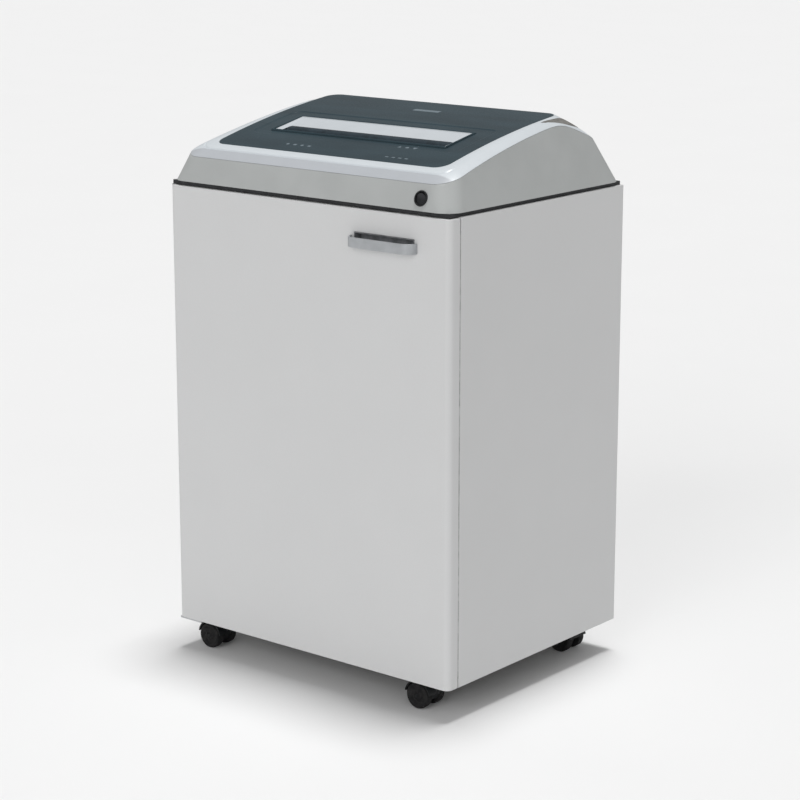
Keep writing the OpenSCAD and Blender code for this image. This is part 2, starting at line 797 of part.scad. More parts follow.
fins = 24;
module motor_housing() {
  x0 = x_flange + bell_t;
  color("#7d8388") difference() {
    x_slab(x0, x0 + motor_len) translate([y_motor, z_motor]) {
      circle(motor_r - 7);
      for (i = [0:fins - 1]) rotate(360 * i / fins) translate([motor_r - 9, -1.5]) square([9, 3]);
    }
    x_rod(x0 - 1, x0 + motor_len + 1, y_motor, z_motor, stator_r);
  }
  color("#7d8388") box(x0 + 12, x0 + motor_len - 12, y_motor - 24, y_motor + 24,
    z_deck_top, z_motor - stator_r - 8);
}

module motor_end_bells() {
  color("#7d8388") for (x0 = [x_flange, x_flange + bell_t + motor_len]) difference() {
    x_rod(x0, x0 + bell_t, y_motor, z_motor, motor_r - 3);
    x_rod(x0 - 1, x0 + bell_t + 1, y_motor, z_motor, motor_bearing_r);
  }
}

x_fan = x_flange + 2 * bell_t + motor_len + 4;
module fan_cowl() {
  x0 = x_flange + 2 * bell_t + motor_len;
  color(dark_plastic) difference() {
    x_rod(x0, x0 + cowl_len, y_motor, z_motor, motor_r - 1);
    x_rod(x0 - 1, x0 + cowl_len - cowl_t, y_motor, z_motor, motor_r - 1 - cowl_t);
    for (ring = [18, 30, 42]) for (i = [0:11])
      translate([x0 + cowl_len - cowl_t - 1, y_motor, z_motor]) rotate([360 * (i + ring % 4 / 4) / 12, 0, 0])
        translate([0, ring, 0]) rotate([0, 90, 0]) cylinder(h = cowl_t + 2, r = 3);
  }
}

module motor_fan() {
  color(light_plastic) difference() {
    union() {
      x_rod(x_fan, x_fan + 16, y_motor, z_motor, 12);
      for (i = [0:6]) translate([x_fan + 1, y_motor, z_motor]) rotate([360 * i / 7, 0, 0])
        translate([0, 9.5, -1]) cube([14, 34, 2]);
    }
    x_rod(x_fan - 1, x_fan + 17, y_motor, z_motor, motor_shaft_d / 2);
  }
}

module motor_rotor() {
  x0 = x_flange + bell_t;
  color(steel) {
    x_rod(-idler_x - gear_w, x_fan + 16, y_motor, z_motor, motor_shaft_d / 2);
    x_rod(x0 + 8, x0 + motor_len - 8, y_motor, z_motor, rotor_r);
  }
}

module motor_pinion() {
  color(steel) gear(-idler_x - gear_w, -idler_x, y_motor, z_motor, light_module, pinion_teeth,
    motor_angle + 180 + 180 / pinion_teeth, motor_shaft_d / 2);
}

module run_capacitor() {
  x0 = x_flange + 30;
  y0 = y_in - 30;
  color("#d9dbdc") x_rod(x0, x0 + 84, y0, z_deck_top + 22, 19);
  color(dark_plastic) x_rod(x0 - 6, x0, y0, z_deck_top + 22, 17);
  color(zinc) box(x0 + 30, x0 + 50, y0 - 10, y0 + 10, z_deck_top, z_deck_top + 3);
}

module power_board() {
  x0 = 64;
  y0 = 70;
  color(circuit) box(x0, x0 + 150, y0, y0 + 92, z_deck_top + 8, z_deck_top + 8 + board_t);
  color(zinc) for (x = [x0 + 6, x0 + 144]) for (y = [y0 + 6, y0 + 86])
    translate([x, y, z_deck_top]) cylinder(h = 8, r = 3);
  color("#c9a23c") box(x0 + 12, x0 + 62, y0 + 16, y0 + 60, z_deck_top + 8 + board_t, z_deck_top + 44);
  color(dark_plastic) for (x = [x0 + 78, x0 + 104])
    box(x, x + 20, y0 + 20, y0 + 36, z_deck_top + 8 + board_t, z_deck_top + 26);
  color("#26408b") for (i = [0:2]) translate([x0 + 84 + 20 * i, y0 + 62, z_deck_top + 8 + board_t])
    cylinder(h = 22, r = 7);
}

// ---- bag ----

module bag_rails() {
  color(zinc) for (s = [-1, 1]) {
    x_wall = s > 0 ? x_in - rail_t : -x_in;
    x_leg = s > 0 ? hoop_x - 6 : -x_in;
    z1 = z_hoop - hoop_d / 2;
    box(x_wall, x_wall + rail_t, y_case + 12, y_in - 4, z1 - 26, z1);
    box(x_leg, x_leg + x_in - hoop_x + 6, y_case + 12, y_in - 4, z1 - rail_t, z1);
  }
}

module bag_hoop() {
  r = hoop_d / 2;
  x = hoop_x - hoop_corner;
  y0 = hoop_front + hoop_corner;
  y1 = hoop_rear - hoop_corner;
  color(zinc) {
    for (s = [-1, 1]) translate([s * hoop_x, y0, z_hoop]) rotate([-90, 0, 0]) cylinder(h = y1 - y0, r = r);
    for (y = [hoop_front, hoop_rear]) x_rod(-x, x, y, z_hoop, r);
    for (c = [[x, y1, 0], [-x, y1, 90], [-x, y0, 180], [x, y0, 270]]) translate([c.x, c.y, z_hoop])
      rotate([0, 0, c.z]) rotate_extrude(angle = 90) translate([hoop_corner, 0]) circle(r);
  }
}

module bag_outline(x, y0, y1, r) {
  translate([-x, y0 + r]) square([2 * x, y1 - y0 - 2 * r]);
  translate([-x + r, y0]) square([2 * x - 2 * r, y1 - y0]);
  for (s = [-1, 1]) for (y = [y0 + r, y1 - r]) translate([s * (x - r), y]) circle(r);
}

module waste_bag() {
  gap = hoop_d / 2 + 3;
  x = hoop_x - gap;
  y0 = hoop_front + gap;
  y1 = hoop_rear - gap;
  z0 = z_bottom + panel_t + bag_floor;
  color("#dfe6ea") difference() {
    translate([0, 0, z0]) linear_extrude(z_hoop - z0) bag_outline(x, y0, y1, hoop_corner - gap);
    translate([0, 0, z0 + bag_t]) linear_extrude(z_hoop - z0)
      bag_outline(x - bag_t, y0 + bag_t, y1 - bag_t, hoop_corner - gap - bag_t);
  }
}

// ---- door ----

module door_outline() {
  difference() {
    translate([-x_out, y_front]) square([cabinet_w, door_t]);
    for (s = [-1, 1]) translate([s * (x_out - door_edge_r / 2), y_front + door_edge_r / 2])
      square(door_edge_r + 0.001, center = true);
  }
  for (s = [-1, 1]) translate([s * (x_out - door_edge_r), y_front + door_edge_r]) circle(door_edge_r);
}

pocket_w = handle_w - 12;
module door_panel() {
  color(laminate) difference() {
    translate([0, 0, z_bottom]) linear_extrude(z_door_top - z_bottom) door_outline();
    box(handle_x - pocket_w / 2, handle_x + pocket_w / 2, y_front - 1, y_front + pocket_depth + 2,
      z_scoop + scoop_t, z_pocket_top);
    for (z = [z_bottom - 1, z_door_top - bush_len]) translate([x_pivot, y_pivot, z])
      cylinder(h = bush_len + 1, r = pivot_r + bush_wall);
  }
}

// Dark liner of the finger pocket
module handle_cup() {
  w = pocket_w / 2 - touch;
  color(dark_plastic) difference() {
    box(handle_x - w, handle_x + w, y_front, y_front + pocket_depth + 2 - touch,
      z_scoop + scoop_t + touch, z_pocket_top - touch);
    box(handle_x - w + 1.5, handle_x + w - 1.5, y_front - 1, y_front + pocket_depth,
      z_scoop + scoop_t + 1.5, z_pocket_top - 1.5);
  }
}

// Outline of the scoop seen from above, open to the rear, drawn inset by d
module scoop_outline(d) {
  r = scoop_end_r - d;
  x = handle_w / 2 - scoop_end_r;
  intersection() {
    union() {
      translate([-x, -r]) square([2 * x, 2 * r]);
      for (s = [-1, 1]) translate([s * x, 0]) circle(r);
    }
    translate([-handle_w, -handle_reach - 1]) square([2 * handle_w, handle_reach + 1]);
  }
}

// Grip in front of the pocket: a wall with rounded ends, open above and closed below
module door_handle() {
  color(light_plastic) translate([handle_x, y_front, z_scoop]) difference() {
    linear_extrude(scoop_h) scoop_outline(0);
    translate([0, 0.01, scoop_t]) linear_extrude(scoop_h) scoop_outline(scoop_t);
  }
}

module door_bushes() {
  color("#e8e8e4") for (z = [z_bottom + 0.5, z_door_top - bush_len]) difference() {
    translate([x_pivot, y_pivot, z]) cylinder(h = bush_len - 0.5, r = pivot_r + bush_wall - 0.02);
    translate([x_pivot, y_pivot, z - 1]) cylinder(h = bush_len + 2, r = pivot_r + fit);
  }
}

module catch_plate() {
  y1 = y_front + door_t;
  color(steel) box(catch_x - 20, catch_x + 20, y1, y1 + 1.2, catch_z - 8, catch_z + 8);
}

// ---- casters ----

module caster_stems() {
  color(zinc) for (p = caster_places) translate([p.x, p.y, 0]) {
    translate([0, 0, z_bottom - 3]) cylinder(h = 3, r = flange_r);
    translate([0, 0, z_bottom]) cylinder(h = panel_t, r = stem_r + 1);
    translate([0, 0, z_axle + 8]) cylinder(h = z_bottom - 3 - z_axle - 8, r = stem_r);
  }
}

module at_caster(i) {
  p = caster_places[i];
  translate([p.x, p.y, 0]) rotate([0, 0, p.z]) children();
}

// Y-axis disc or tube centred on the axle
module wheel_disc(w, r) {
  translate([trail, 0, z_axle]) rotate([90, 0, 0]) cylinder(h = w, r = r, center = true);
}

// Swivelling body of a caster: hub, web, axle and the hood over both wheels
module caster_body(i) {
  hub_top = z_bottom - 3 - 1;
  half_w = web_w / 2 + 0.6 + wheel_w;
  color(dark_plastic) at_caster(i) difference() {
    union() {
      translate([0, 0, z_axle + 2]) cylinder(h = hub_top - z_axle - 2, r = web_w / 2);
      wheel_disc(web_w, 12);
      box(0, trail, -web_w / 2, web_w / 2, z_axle - 6, z_axle + 18);
      wheel_disc(2 * half_w, axle_r);
      difference() {
        wheel_disc(2 * half_w - 2, hood_r + hood_t);
        wheel_disc(2 * half_w, hood_r);
        box(trail - 40, trail + 40, -40, 40, -5, z_axle + 4);
      }
    }
    translate([0, 0, z_axle + 7]) cylinder(h = 40, r = stem_r + fit);
  }
}

module caster_wheels(i) {
  y0 = web_w / 2 + 0.6;
  r = wheel_d / 2;
  w = wheel_w / 2;
  color(dark_plastic) at_caster(i) for (s = [-1, 1]) translate([trail, s * (y0 + w), z_axle])
    rotate([90, 0, 0]) rotate_extrude() polygon([
      [axle_r + fit, -w], [r - 1.5, -w], [r, -w + 1.5], [r, w - 1.5], [r - 1.5, w], [axle_r + fit, w]
    ]);
}

// ---- fasteners ----

screw_r = 2;
bracket_holes = [for (dx = [8, bracket_w - 8]) [-x_in + 2 + dx, y_case + 26]];
module cabinet_screws() {
  color(steel) for (p = bracket_holes) {
    translate([p.x, p.y, z_bottom - bracket_t - 1.8]) cylinder(h = 1.8, r = 4);
    translate([p.x, p.y, z_bottom - bracket_t]) cylinder(h = bracket_t, r = screw_r);
  }
}

// ---- assembly ----

side_panel(-1);  // side_panel_left
side_panel(1);  // side_panel_right
back_panel();
bottom_panel();
deck_plate();
deck_rails();
seam_frame();
door_pivots();
magnet_catch();
door_sensor();
vent_grille();
power_inlet();
head_cover();
head_rim();
control_panel();
throat_funnel();
control_board();
paper_sensors();
switch_bezel();
cutter_plate_left();
cutter_plate_right();
tie_rods();
front_comb();
rear_comb();
shaft_bearings();
idler_axle();
motor_housing();
motor_end_bells();
fan_cowl();
run_capacitor();
power_board();
bag_rails();
bag_hoop();
waste_bag();
caster_stems();
cabinet_screws();
door_panel();
door_handle();
handle_cup();
catch_plate();
door_bushes();
switch_rocker();
front_cutter_roll();
front_sync_gear();
rear_cutter_roll();
rear_sync_gear();
drive_gear();
idler_gear();
motor_rotor();
motor_pinion();
motor_fan();
caster_body(0);  // caster_body_fl
caster_body(1);  // caster_body_fr
caster_body(2);  // caster_body_rl
caster_body(3);  // caster_body_rr
caster_wheels(0);  // caster_wheels_fl
caster_wheels(1);  // caster_wheels_fr
caster_wheels(2);  // caster_wheels_rl
caster_wheels(3);  // caster_wheels_rr
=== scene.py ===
"""Looks of an upright office shredder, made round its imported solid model."""
import math

import bmesh
import bpy
from mathutils import Matrix, Vector


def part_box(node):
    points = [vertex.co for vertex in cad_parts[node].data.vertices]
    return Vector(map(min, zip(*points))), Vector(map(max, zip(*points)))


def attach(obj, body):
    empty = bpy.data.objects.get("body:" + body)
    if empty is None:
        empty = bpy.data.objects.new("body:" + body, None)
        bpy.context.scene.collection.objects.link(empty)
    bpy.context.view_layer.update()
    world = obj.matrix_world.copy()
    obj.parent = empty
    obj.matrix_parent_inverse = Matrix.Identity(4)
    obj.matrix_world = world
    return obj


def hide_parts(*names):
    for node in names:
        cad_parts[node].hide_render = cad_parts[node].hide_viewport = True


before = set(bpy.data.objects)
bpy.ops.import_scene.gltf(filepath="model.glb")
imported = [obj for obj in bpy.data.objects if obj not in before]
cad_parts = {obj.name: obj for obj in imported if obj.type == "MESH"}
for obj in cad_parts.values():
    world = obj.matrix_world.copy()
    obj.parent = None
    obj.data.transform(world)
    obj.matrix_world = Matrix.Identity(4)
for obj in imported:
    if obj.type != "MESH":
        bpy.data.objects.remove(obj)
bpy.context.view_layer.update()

MM = 0.001


# ---- places taken from the frame, in millimetres ----

def box_mm(node):
    """Lowest and highest corner of a node, in millimetres."""
    low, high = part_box(node)
    return low / MM, high / MM


cover_low, cover_high = box_mm("head_cover")
plate_low, plate_high = box_mm("control_panel")
funnel_low, funnel_high = box_mm("throat_funnel")
gap = 0.2
x_out = cover_high.x
y_front = cover_low.y
y_back = cover_high.y
z_head = cover_low.z
glass_x = plate_high.x + gap
glass_front = plate_low.y - gap
y_crest = plate_high.y + gap

# Shape of the head: heights over its base, leans and corner radii
front_height = 55
crest_height = 106
bulge = 5.7
rear_wall = 59
rear_slope = 0.41
lean_side = 0.33
lean_rear = 0.47
rim_drop = 8.5
base_corner = 28
wall_corner = 36
glass_corner = 20
wall_thickness = 3
glass_thickness = 4
seam_gap = 0.4
corner_steps = 14
side_steps = 44
wall_steps = 8
switch_rise = 17
switch_hole_radius = 10.2
hole_reach = 40
axis_gap = 0.01  # a turned piece's radius where it would close on its axis


def top_height(y):
    """Height of the head's top over its base, along the middle."""
    t = (y - glass_front) / (y_crest - glass_front)
    return front_height + (crest_height - front_height) * t + 4 * bulge * t * (1 - t)


wall_front = y_front + lean_side * (top_height(y_front + lean_side * 38) - rim_drop)
wall_rear = y_back - lean_rear * rear_wall


def wall_height(y):
    """Height of the wall's upper edge: it follows the top, then turns down softly to the rear."""
    softness = 6
    rising = top_height(y) - rim_drop
    falling = rear_wall + rear_slope * (wall_rear - y)
    return -softness * math.log(math.exp(-rising / softness) + math.exp(-falling / softness))


def corner(cx, cy, radius, start):
    """A quarter round, anticlockwise from the start angle."""
    turns = [math.radians(start + 90 * i / corner_steps) for i in range(corner_steps + 1)]
    return [(cx + radius * math.cos(a), cy + radius * math.sin(a)) for a in turns]


def side(x, y0, y1):
    """The points between two corners along a straight side."""
    return [(x, y0 + (y1 - y0) * i / side_steps) for i in range(1, side_steps)]


def plan(a, yf, yb, r):
    """Rounded rectangle seen from above; its point count never changes."""
    return (
        corner(a - r, yb - r, r, 0)
        + corner(-a + r, yb - r, r, 90)
        + side(-a, yb - r, yf + r)
        + corner(-a + r, yf + r, r, 180)
        + corner(a - r, yf + r, r, 270)
        + side(a, yf + r, yb - r)
    )


def at_height(points, z):
    return [(x, y, z) for x, y in points]


def on_top(points, dz):
    """Points seen from above, laid on the head's top and raised by dz."""
    return [(x, y, z_head + top_height(y) + dz) for x, y in points]


def wall_edge(inset, dz):
    """Upper edge of the leaning walls, set in by inset."""
    ring = []
    outline = plan(x_out - inset, wall_front + inset, wall_rear - inset, wall_corner - inset)
    for x, y in outline:
        h = wall_height(y)
        ring.append((x - x / x_out * lean_side * h, y, z_head + h + dz))
    return ring


def between(a, b, t):
    """Ring part of the way from ring a to ring b."""
    return [tuple(p + (q - p) * t for p, q in zip(u, v)) for u, v in zip(a, b)]


# ---- meshes ----

def new_piece(name, vertices, faces):
    """A mesh object from points in millimetres."""
    mesh = bpy.data.meshes.new(name)
    mesh.from_pydata([Vector(v) * MM for v in vertices], [], faces)
    piece = bpy.data.objects.new(name, mesh)
    bpy.context.scene.collection.objects.link(piece)
    return piece


def outward(piece):
    """Merges doubles and turns every face outwards."""
    shell = bmesh.new()
    shell.from_mesh(piece.data)
    bmesh.ops.remove_doubles(shell, verts=shell.verts, dist=1e-6)
    bmesh.ops.recalc_face_normals(shell, faces=shell.faces)
    shell.to_mesh(piece.data)
    shell.free()
    return piece


def apply_modifiers(piece):
    """Bakes the modifiers into the mesh and removes them."""
    evaluated = piece.evaluated_get(bpy.context.evaluated_depsgraph_get())
    baked = bpy.data.meshes.new_from_object(evaluated)
    piece.modifiers.clear()
    piece.data = baked
    return piece


def soften(piece, width, angle=40, segments=3):
    """Rounds the sharp edges by width millimetres and shades the flats flat."""
    if width > 0:
        bevel = piece.modifiers.new("edges", "BEVEL")
        bevel.limit_method = "ANGLE"
        bevel.angle_limit = math.radians(angle)
        bevel.width = width * MM
        bevel.segments = segments
        bevel.use_clamp_overlap = True
    piece.data.shade_smooth()
    weighted = piece.modifiers.new("normals", "WEIGHTED_NORMAL")
    weighted.keep_sharp = True
    weighted.weight = 60
    apply_modifiers(piece)
    return piece


def solid_through(name, rings):
    """A closed solid through rings of equal length, the last joined to the first."""
    n = len(rings[0])
    m = len(rings)
    vertices = [p for ring in rings for p in ring]
    faces = []
    for j in range(m):
        for i in range(n):
            k = (i + 1) % n
            after = (j + 1) % m * n
            faces.append((j * n + i, j * n + k, after + k, after + i))
    return outward(new_piece(name, vertices, faces))


def prism(name, section, z0, z1):
    """A four-sided section stood up from z0 to z1."""
    points = [(x, y, z) for z in (z0, z1) for x, y in section]
    walls = [(i, (i + 1) % 4, 4 + (i + 1) % 4, 4 + i) for i in range(4)]
    return outward(new_piece(name, points, walls + [(3, 2, 1, 0), (4, 5, 6, 7)]))


def softened_node(node, width, angle=40, segments=3):
    """A copy of a CAD node with its flats merged and its edges rounded."""
    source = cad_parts[node]
    piece = bpy.data.objects.new(node + "_finished", source.data.copy())
    bpy.context.scene.collection.objects.link(piece)
    piece.data.materials.clear()
    shell = bmesh.new()
    shell.from_mesh(piece.data)
    bmesh.ops.remove_doubles(shell, verts=shell.verts, dist=2e-6)
    flat = math.radians(0.6)
    bmesh.ops.dissolve_limit(shell, angle_limit=flat, verts=shell.verts, edges=shell.edges)
    shell.to_mesh(piece.data)
    shell.free()
    soften(piece, width, angle, segments)
    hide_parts(node)
    return piece


def lathe(name, profile, centre, axis, steps=64):
    """A closed turned piece: profile is (radius, height) pairs round a closed section."""
    turn = Vector((0, 0, 1)).rotation_difference(Vector(axis)).to_matrix()
    rings = []
    for radius, height in profile:
        ring = []
        for i in range(steps):
            a = 2 * math.pi * i / steps
            point = Vector((radius * math.cos(a), radius * math.sin(a), height))
            ring.append(tuple(Vector(centre) + turn @ point))
        rings.append(ring)
    return solid_through(name, rings)


def joined(name, parts):
    """Several meshes made one piece."""
    shell = bmesh.new()
    for part in parts:
        shell.from_mesh(part.data)
        bpy.data.objects.remove(part)
    mesh = bpy.data.meshes.new(name)
    shell.to_mesh(mesh)
    shell.free()
    piece = bpy.data.objects.new(name, mesh)
    bpy.context.scene.collection.objects.link(piece)
    return piece


# ---- repeats, made with geometry nodes ----

def tree_input(tree, name, kind, default):
    socket = tree.interface.new_socket(name=name, in_out="INPUT", socket_type=kind)
    if default is not None:
        socket.default_value = default
    return socket


def repeat_tree(name, layout):
    """Repeats the piece it is put on, over a grid or round a ring."""
    tree = bpy.data.node_groups.new(name, "GeometryNodeTree")
    tree_input(tree, "Piece", "NodeSocketGeometry", None)
    tree.interface.new_socket(name="Result", in_out="OUTPUT", socket_type="NodeSocketGeometry")
    tree_input(tree, "Finish", "NodeSocketMaterial", None)
    add = tree.nodes.new
    link = tree.links.new
    given = add("NodeGroupInput")
    place = add("GeometryNodeInstanceOnPoints")
    if layout == "grid":
        tree_input(tree, "Columns", "NodeSocketInt", 2)
        tree_input(tree, "Rows", "NodeSocketInt", 1)
        tree_input(tree, "Width", "NodeSocketFloat", 0.1)
        tree_input(tree, "Height", "NodeSocketFloat", 0.1)
        points = add("GeometryNodeMeshGrid")
        link(given.outputs["Columns"], points.inputs["Vertices X"])
        link(given.outputs["Rows"], points.inputs["Vertices Y"])
        link(given.outputs["Width"], points.inputs["Size X"])
        link(given.outputs["Height"], points.inputs["Size Y"])
    else:
        tree_input(tree, "Count", "NodeSocketInt", 8)
        tree_input(tree, "Radius", "NodeSocketFloat", 0.02)
        points = add("GeometryNodeMeshCircle")
        link(given.outputs["Count"], points.inputs["Vertices"])
        link(given.outputs["Radius"], points.inputs["Radius"])
        index = add("GeometryNodeInputIndex")
        share = add("ShaderNodeMath")
        share.operation = "DIVIDE"
        angle = add("ShaderNodeMath")
        angle.operation = "MULTIPLY"
        angle.inputs[1].default_value = 2 * math.pi
        turn = add("ShaderNodeCombineXYZ")
        link(index.outputs[0], share.inputs[0])
        link(given.outputs["Count"], share.inputs[1])
        link(share.outputs[0], angle.inputs[0])
        link(angle.outputs[0], turn.inputs["Z"])
        link(turn.outputs[0], place.inputs["Rotation"])
    real = add("GeometryNodeRealizeInstances")
    paint = add("GeometryNodeSetMaterial")
    out = add("NodeGroupOutput")
    link(points.outputs["Mesh"], place.inputs["Points"])
    link(given.outputs["Piece"], place.inputs["Instance"])
    link(place.outputs[0], real.inputs[0])
    link(real.outputs[0], paint.inputs["Geometry"])
    link(given.outputs["Finish"], paint.inputs["Material"])
    link(paint.outputs[0], out.inputs[0])
    return tree


def repeated(piece, tree, finish, centre, axis=(0, 0, 1), **sizes):
    """Repeats a piece with a tree, then lays the result down at centre, facing axis."""
    modifier = piece.modifiers.new("repeat", "NODES")
    modifier.node_group = tree
    for item in tree.interface.items_tree:
        if item.in_out == "INPUT" and item.name in sizes:
            modifier[item.identifier] = sizes[item.name]
        if item.in_out == "INPUT" and item.name == "Finish":
            modifier[item.identifier] = finish
    apply_modifiers(piece)
    turn = Vector((0, 0, 1)).rotation_difference(Vector(axis)).to_matrix().to_4x4()
    piece.data.transform(Matrix.Translation(Vector(centre) * MM) @ turn)
    return piece


# ---- finishes ----

class Finish:
    """A node material in the making: a principled shader and patterns on object coordinates."""

    def __init__(self, name, color, roughness, metallic=0.0):
        self.material = bpy.data.materials.new(name)
        self.material.use_nodes = True
        self.nodes = self.material.node_tree.nodes
        self.link = self.material.node_tree.links.new
        self.shader = self.nodes["Principled BSDF"]
        self.shader.inputs["Base Color"].default_value = (*color, 1)
        self.shader.inputs["Roughness"].default_value = roughness
        self.shader.inputs["Metallic"].default_value = metallic
        self.place = self.nodes.new("ShaderNodeTexCoord").outputs["Object"]

    def stretched(self, scale):
        """Object coordinates, scaled apart along each axis."""
        mapping = self.nodes.new("ShaderNodeMapping")
        mapping.inputs["Scale"].default_value = scale
        self.link(self.place, mapping.inputs["Vector"])
        return mapping.outputs[0]

    def noise(self, scale, detail=3.0, rough=0.55, stretch=None):
        pattern = self.nodes.new("ShaderNodeTexNoise")
        pattern.inputs["Scale"].default_value = scale
        pattern.inputs["Detail"].default_value = detail
        pattern.inputs["Roughness"].default_value = rough
        self.link(self.stretched(stretch) if stretch else self.place, pattern.inputs["Vector"])
        return pattern.outputs[0]

    def cells(self, scale, stretch=None):
        pattern = self.nodes.new("ShaderNodeTexVoronoi")
        pattern.inputs["Scale"].default_value = scale
        self.link(self.stretched(stretch) if stretch else self.place, pattern.inputs["Vector"])
        return pattern

    def blend(self, pattern, low, high, start=0.35, end=0.65):
        """Two colours mixed by a pattern."""
        ramp = self.nodes.new("ShaderNodeValToRGB")
        ramp.color_ramp.elements[0].position = start
        ramp.color_ramp.elements[1].position = end
        ramp.color_ramp.elements[0].color = (*low, 1)
        ramp.color_ramp.elements[1].color = (*high, 1)
        self.link(pattern, ramp.inputs[0])
        return ramp.outputs[0]

    def multiply(self, a, b, share=1.0):
        mix = self.nodes.new("ShaderNodeMix")
        mix.data_type = "RGBA"
        mix.blend_type = "MULTIPLY"
        mix.inputs["Factor"].default_value = share
        self.link(a, mix.inputs["A"])
        self.link(b, mix.inputs["B"])
        return mix.outputs["Result"]

    def ranged(self, pattern, low, high, start=0.3, end=0.7):
        """A pattern's values from start to end, laid out from low to high."""
        span = self.nodes.new("ShaderNodeMapRange")
        span.inputs["From Min"].default_value = start
        span.inputs["From Max"].default_value = end
        span.inputs["To Min"].default_value = low
        span.inputs["To Max"].default_value = high
        self.link(pattern, span.inputs["Value"])
        return span.outputs[0]

    def paint(self, colour):
        self.link(colour, self.shader.inputs["Base Color"])

    def rough(self, value):
        self.link(value, self.shader.inputs["Roughness"])

    def relief(self, pattern, depth, strength=0.5):
        """Fine bumps; a second call lies over the first."""
        bump = self.nodes.new("ShaderNodeBump")
        bump.inputs["Strength"].default_value = strength
        bump.inputs["Distance"].default_value = depth
        self.link(pattern, bump.inputs["Height"])
        previous = self.shader.inputs["Normal"]
        if previous.is_linked:
            self.link(previous.links[0].from_socket, bump.inputs["Normal"])
        self.link(bump.outputs[0], previous)


def shade(color, factor):
    return tuple(min(1.0, c * factor) for c in color)


def laminate():
    """Light grey melamine board: a fine pearl grain over a faint cloud."""
    color = (0.645, 0.648, 0.65)
    f = Finish("laminate", color, 0.46)
    cloud = f.blend(f.noise(9, 2), shade(color, 0.993), shade(color, 1.005))
    grain = f.blend(f.noise(1500, 2), (0.93, 0.93, 0.93), (1, 1, 1), 0.3, 0.7)
    f.paint(f.multiply(cloud, grain, 0.6))
    f.rough(f.ranged(f.noise(600, 2), 0.40, 0.52))
    f.relief(f.noise(1100, 3), 0.00008, 0.35)
    return f.material


def moulded_grey():
    """Warm grey moulding with a spark-eroded grain."""
    color = (0.420, 0.434, 0.430)
    f = Finish("moulded_grey", color, 0.5)
    cloud = f.blend(f.noise(14, 2), shade(color, 0.97), shade(color, 1.03))
    grain = f.blend(f.noise(1900, 2), (0.92, 0.92, 0.92), (1, 1, 1), 0.3, 0.7)
    f.paint(f.multiply(cloud, grain, 0.7))
    f.rough(f.ranged(f.noise(900, 2), 0.44, 0.58))
    f.relief(f.noise(1400, 3), 0.00012, 0.5)
    return f.material


def moulded_pale():
    """Smoother pale grey moulding with a slight sheen."""
    color = (0.585, 0.62, 0.65)
    f = Finish("moulded_pale", color, 0.34)
    f.paint(f.blend(f.noise(22, 2), shade(color, 0.975), shade(color, 1.015)))
    f.rough(f.ranged(f.noise(700, 2), 0.28, 0.40))
    f.relief(f.noise(1600, 2), 0.00006, 0.3)
    return f.material


def rim_pale():
    """Pale moulding of the rim, with painted shade darkening its lower front band."""
    color = (0.64, 0.68, 0.71)
    f = Finish("rim_pale", color, 0.34)
    axes = f.nodes.new("ShaderNodeSeparateXYZ")
    f.link(f.place, axes.inputs[0])
    # Painted shade: the rim's front band, from these depths forward, is darkened to 72 per cent.
    shade_band_start = -0.1775
    shade_band_end = -0.1745
    front = f.ranged(axes.outputs["Y"], 0.0, 1.0, shade_band_start, shade_band_end)
    tone = f.blend(front, (0.72, 0.71, 0.72), (1, 1, 1), 0.0, 1.0)
    cloud = f.blend(f.noise(22, 2), shade(color, 0.985), shade(color, 1.01))
    f.paint(f.multiply(cloud, tone))
    f.rough(f.ranged(f.noise(700, 2), 0.28, 0.40))
    f.relief(f.noise(1600, 2), 0.00006, 0.3)
    return f.material


def handle_grey():
    """Satin silver-grey paint of the handle."""
    color = (0.40, 0.415, 0.43)
    f = Finish("handle_grey", color, 0.34, 0.35)
    f.paint(f.blend(f.noise(60, 2), shade(color, 0.95), shade(color, 1.05)))
    f.rough(f.ranged(f.noise(900, 2), 0.30, 0.44))
    f.relief(f.noise(1700, 2), 0.00005, 0.3)
    return f.material


def slate_panel():
    """Slate blue control panel, satin, with fine flow streaks and a soft coat."""
    color = (0.030, 0.052, 0.064)
    f = Finish("slate_panel", color, 0.36)
    streak = f.blend(f.noise(30, 3, 0.5, (0.25, 1, 1)), shade(color, 0.9), shade(color, 1.14))
    fleck = f.blend(f.noise(1700, 1), (0.85, 0.85, 0.86), (1, 1, 1), 0.3, 0.7)
    f.paint(f.multiply(streak, fleck, 0.6))
    f.rough(f.ranged(f.noise(500, 2), 0.30, 0.42))
    f.relief(f.noise(1500, 2), 0.00006, 0.35)
    f.shader.inputs["Specular IOR Level"].default_value = 0.22
    return f.material


def black_moulding(name="black_moulding", color=(0.009, 0.010, 0.011), roughness=0.42):
    """Black moulded plastic with a fine grain."""
    f = Finish(name, color, roughness)
    f.paint(f.blend(f.noise(80, 2), shade(color, 0.8), shade(color, 1.3)))
    f.rough(f.ranged(f.noise(900, 2), roughness - 0.08, roughness + 0.1))
    f.relief(f.noise(1500, 2), 0.00008, 0.4)
    f.shader.inputs["Specular IOR Level"].default_value = 0.25
    return f.material


def tread_rubber():
    """Wheel rubber: matt, dusty where it rolls."""
    color = (0.010, 0.010, 0.011)
    f = Finish("tread_rubber", color, 0.75)
    f.paint(f.blend(f.noise(140, 4), shade(color, 0.8), (0.028, 0.027, 0.026), 0.4, 0.8))
    f.shader.inputs["Specular IOR Level"].default_value = 0.25
    f.rough(f.ranged(f.noise(400, 2), 0.62, 0.85))
    f.relief(f.noise(900, 3), 0.0001, 0.5)
    return f.material


def turned_steel():
    """Machined steel with fine turning lines across the shaft's axis."""
    color = (0.50, 0.51, 0.52)
    f = Finish("turned_steel", color, 0.3, 1.0)
    lines = f.noise(60, 3, 0.6, (60, 1, 1))
    f.paint(f.blend(lines, shade(color, 0.85), shade(color, 1.1)))
    f.rough(f.ranged(lines, 0.22, 0.42))
    f.relief(lines, 0.00003, 0.4)
    return f.material


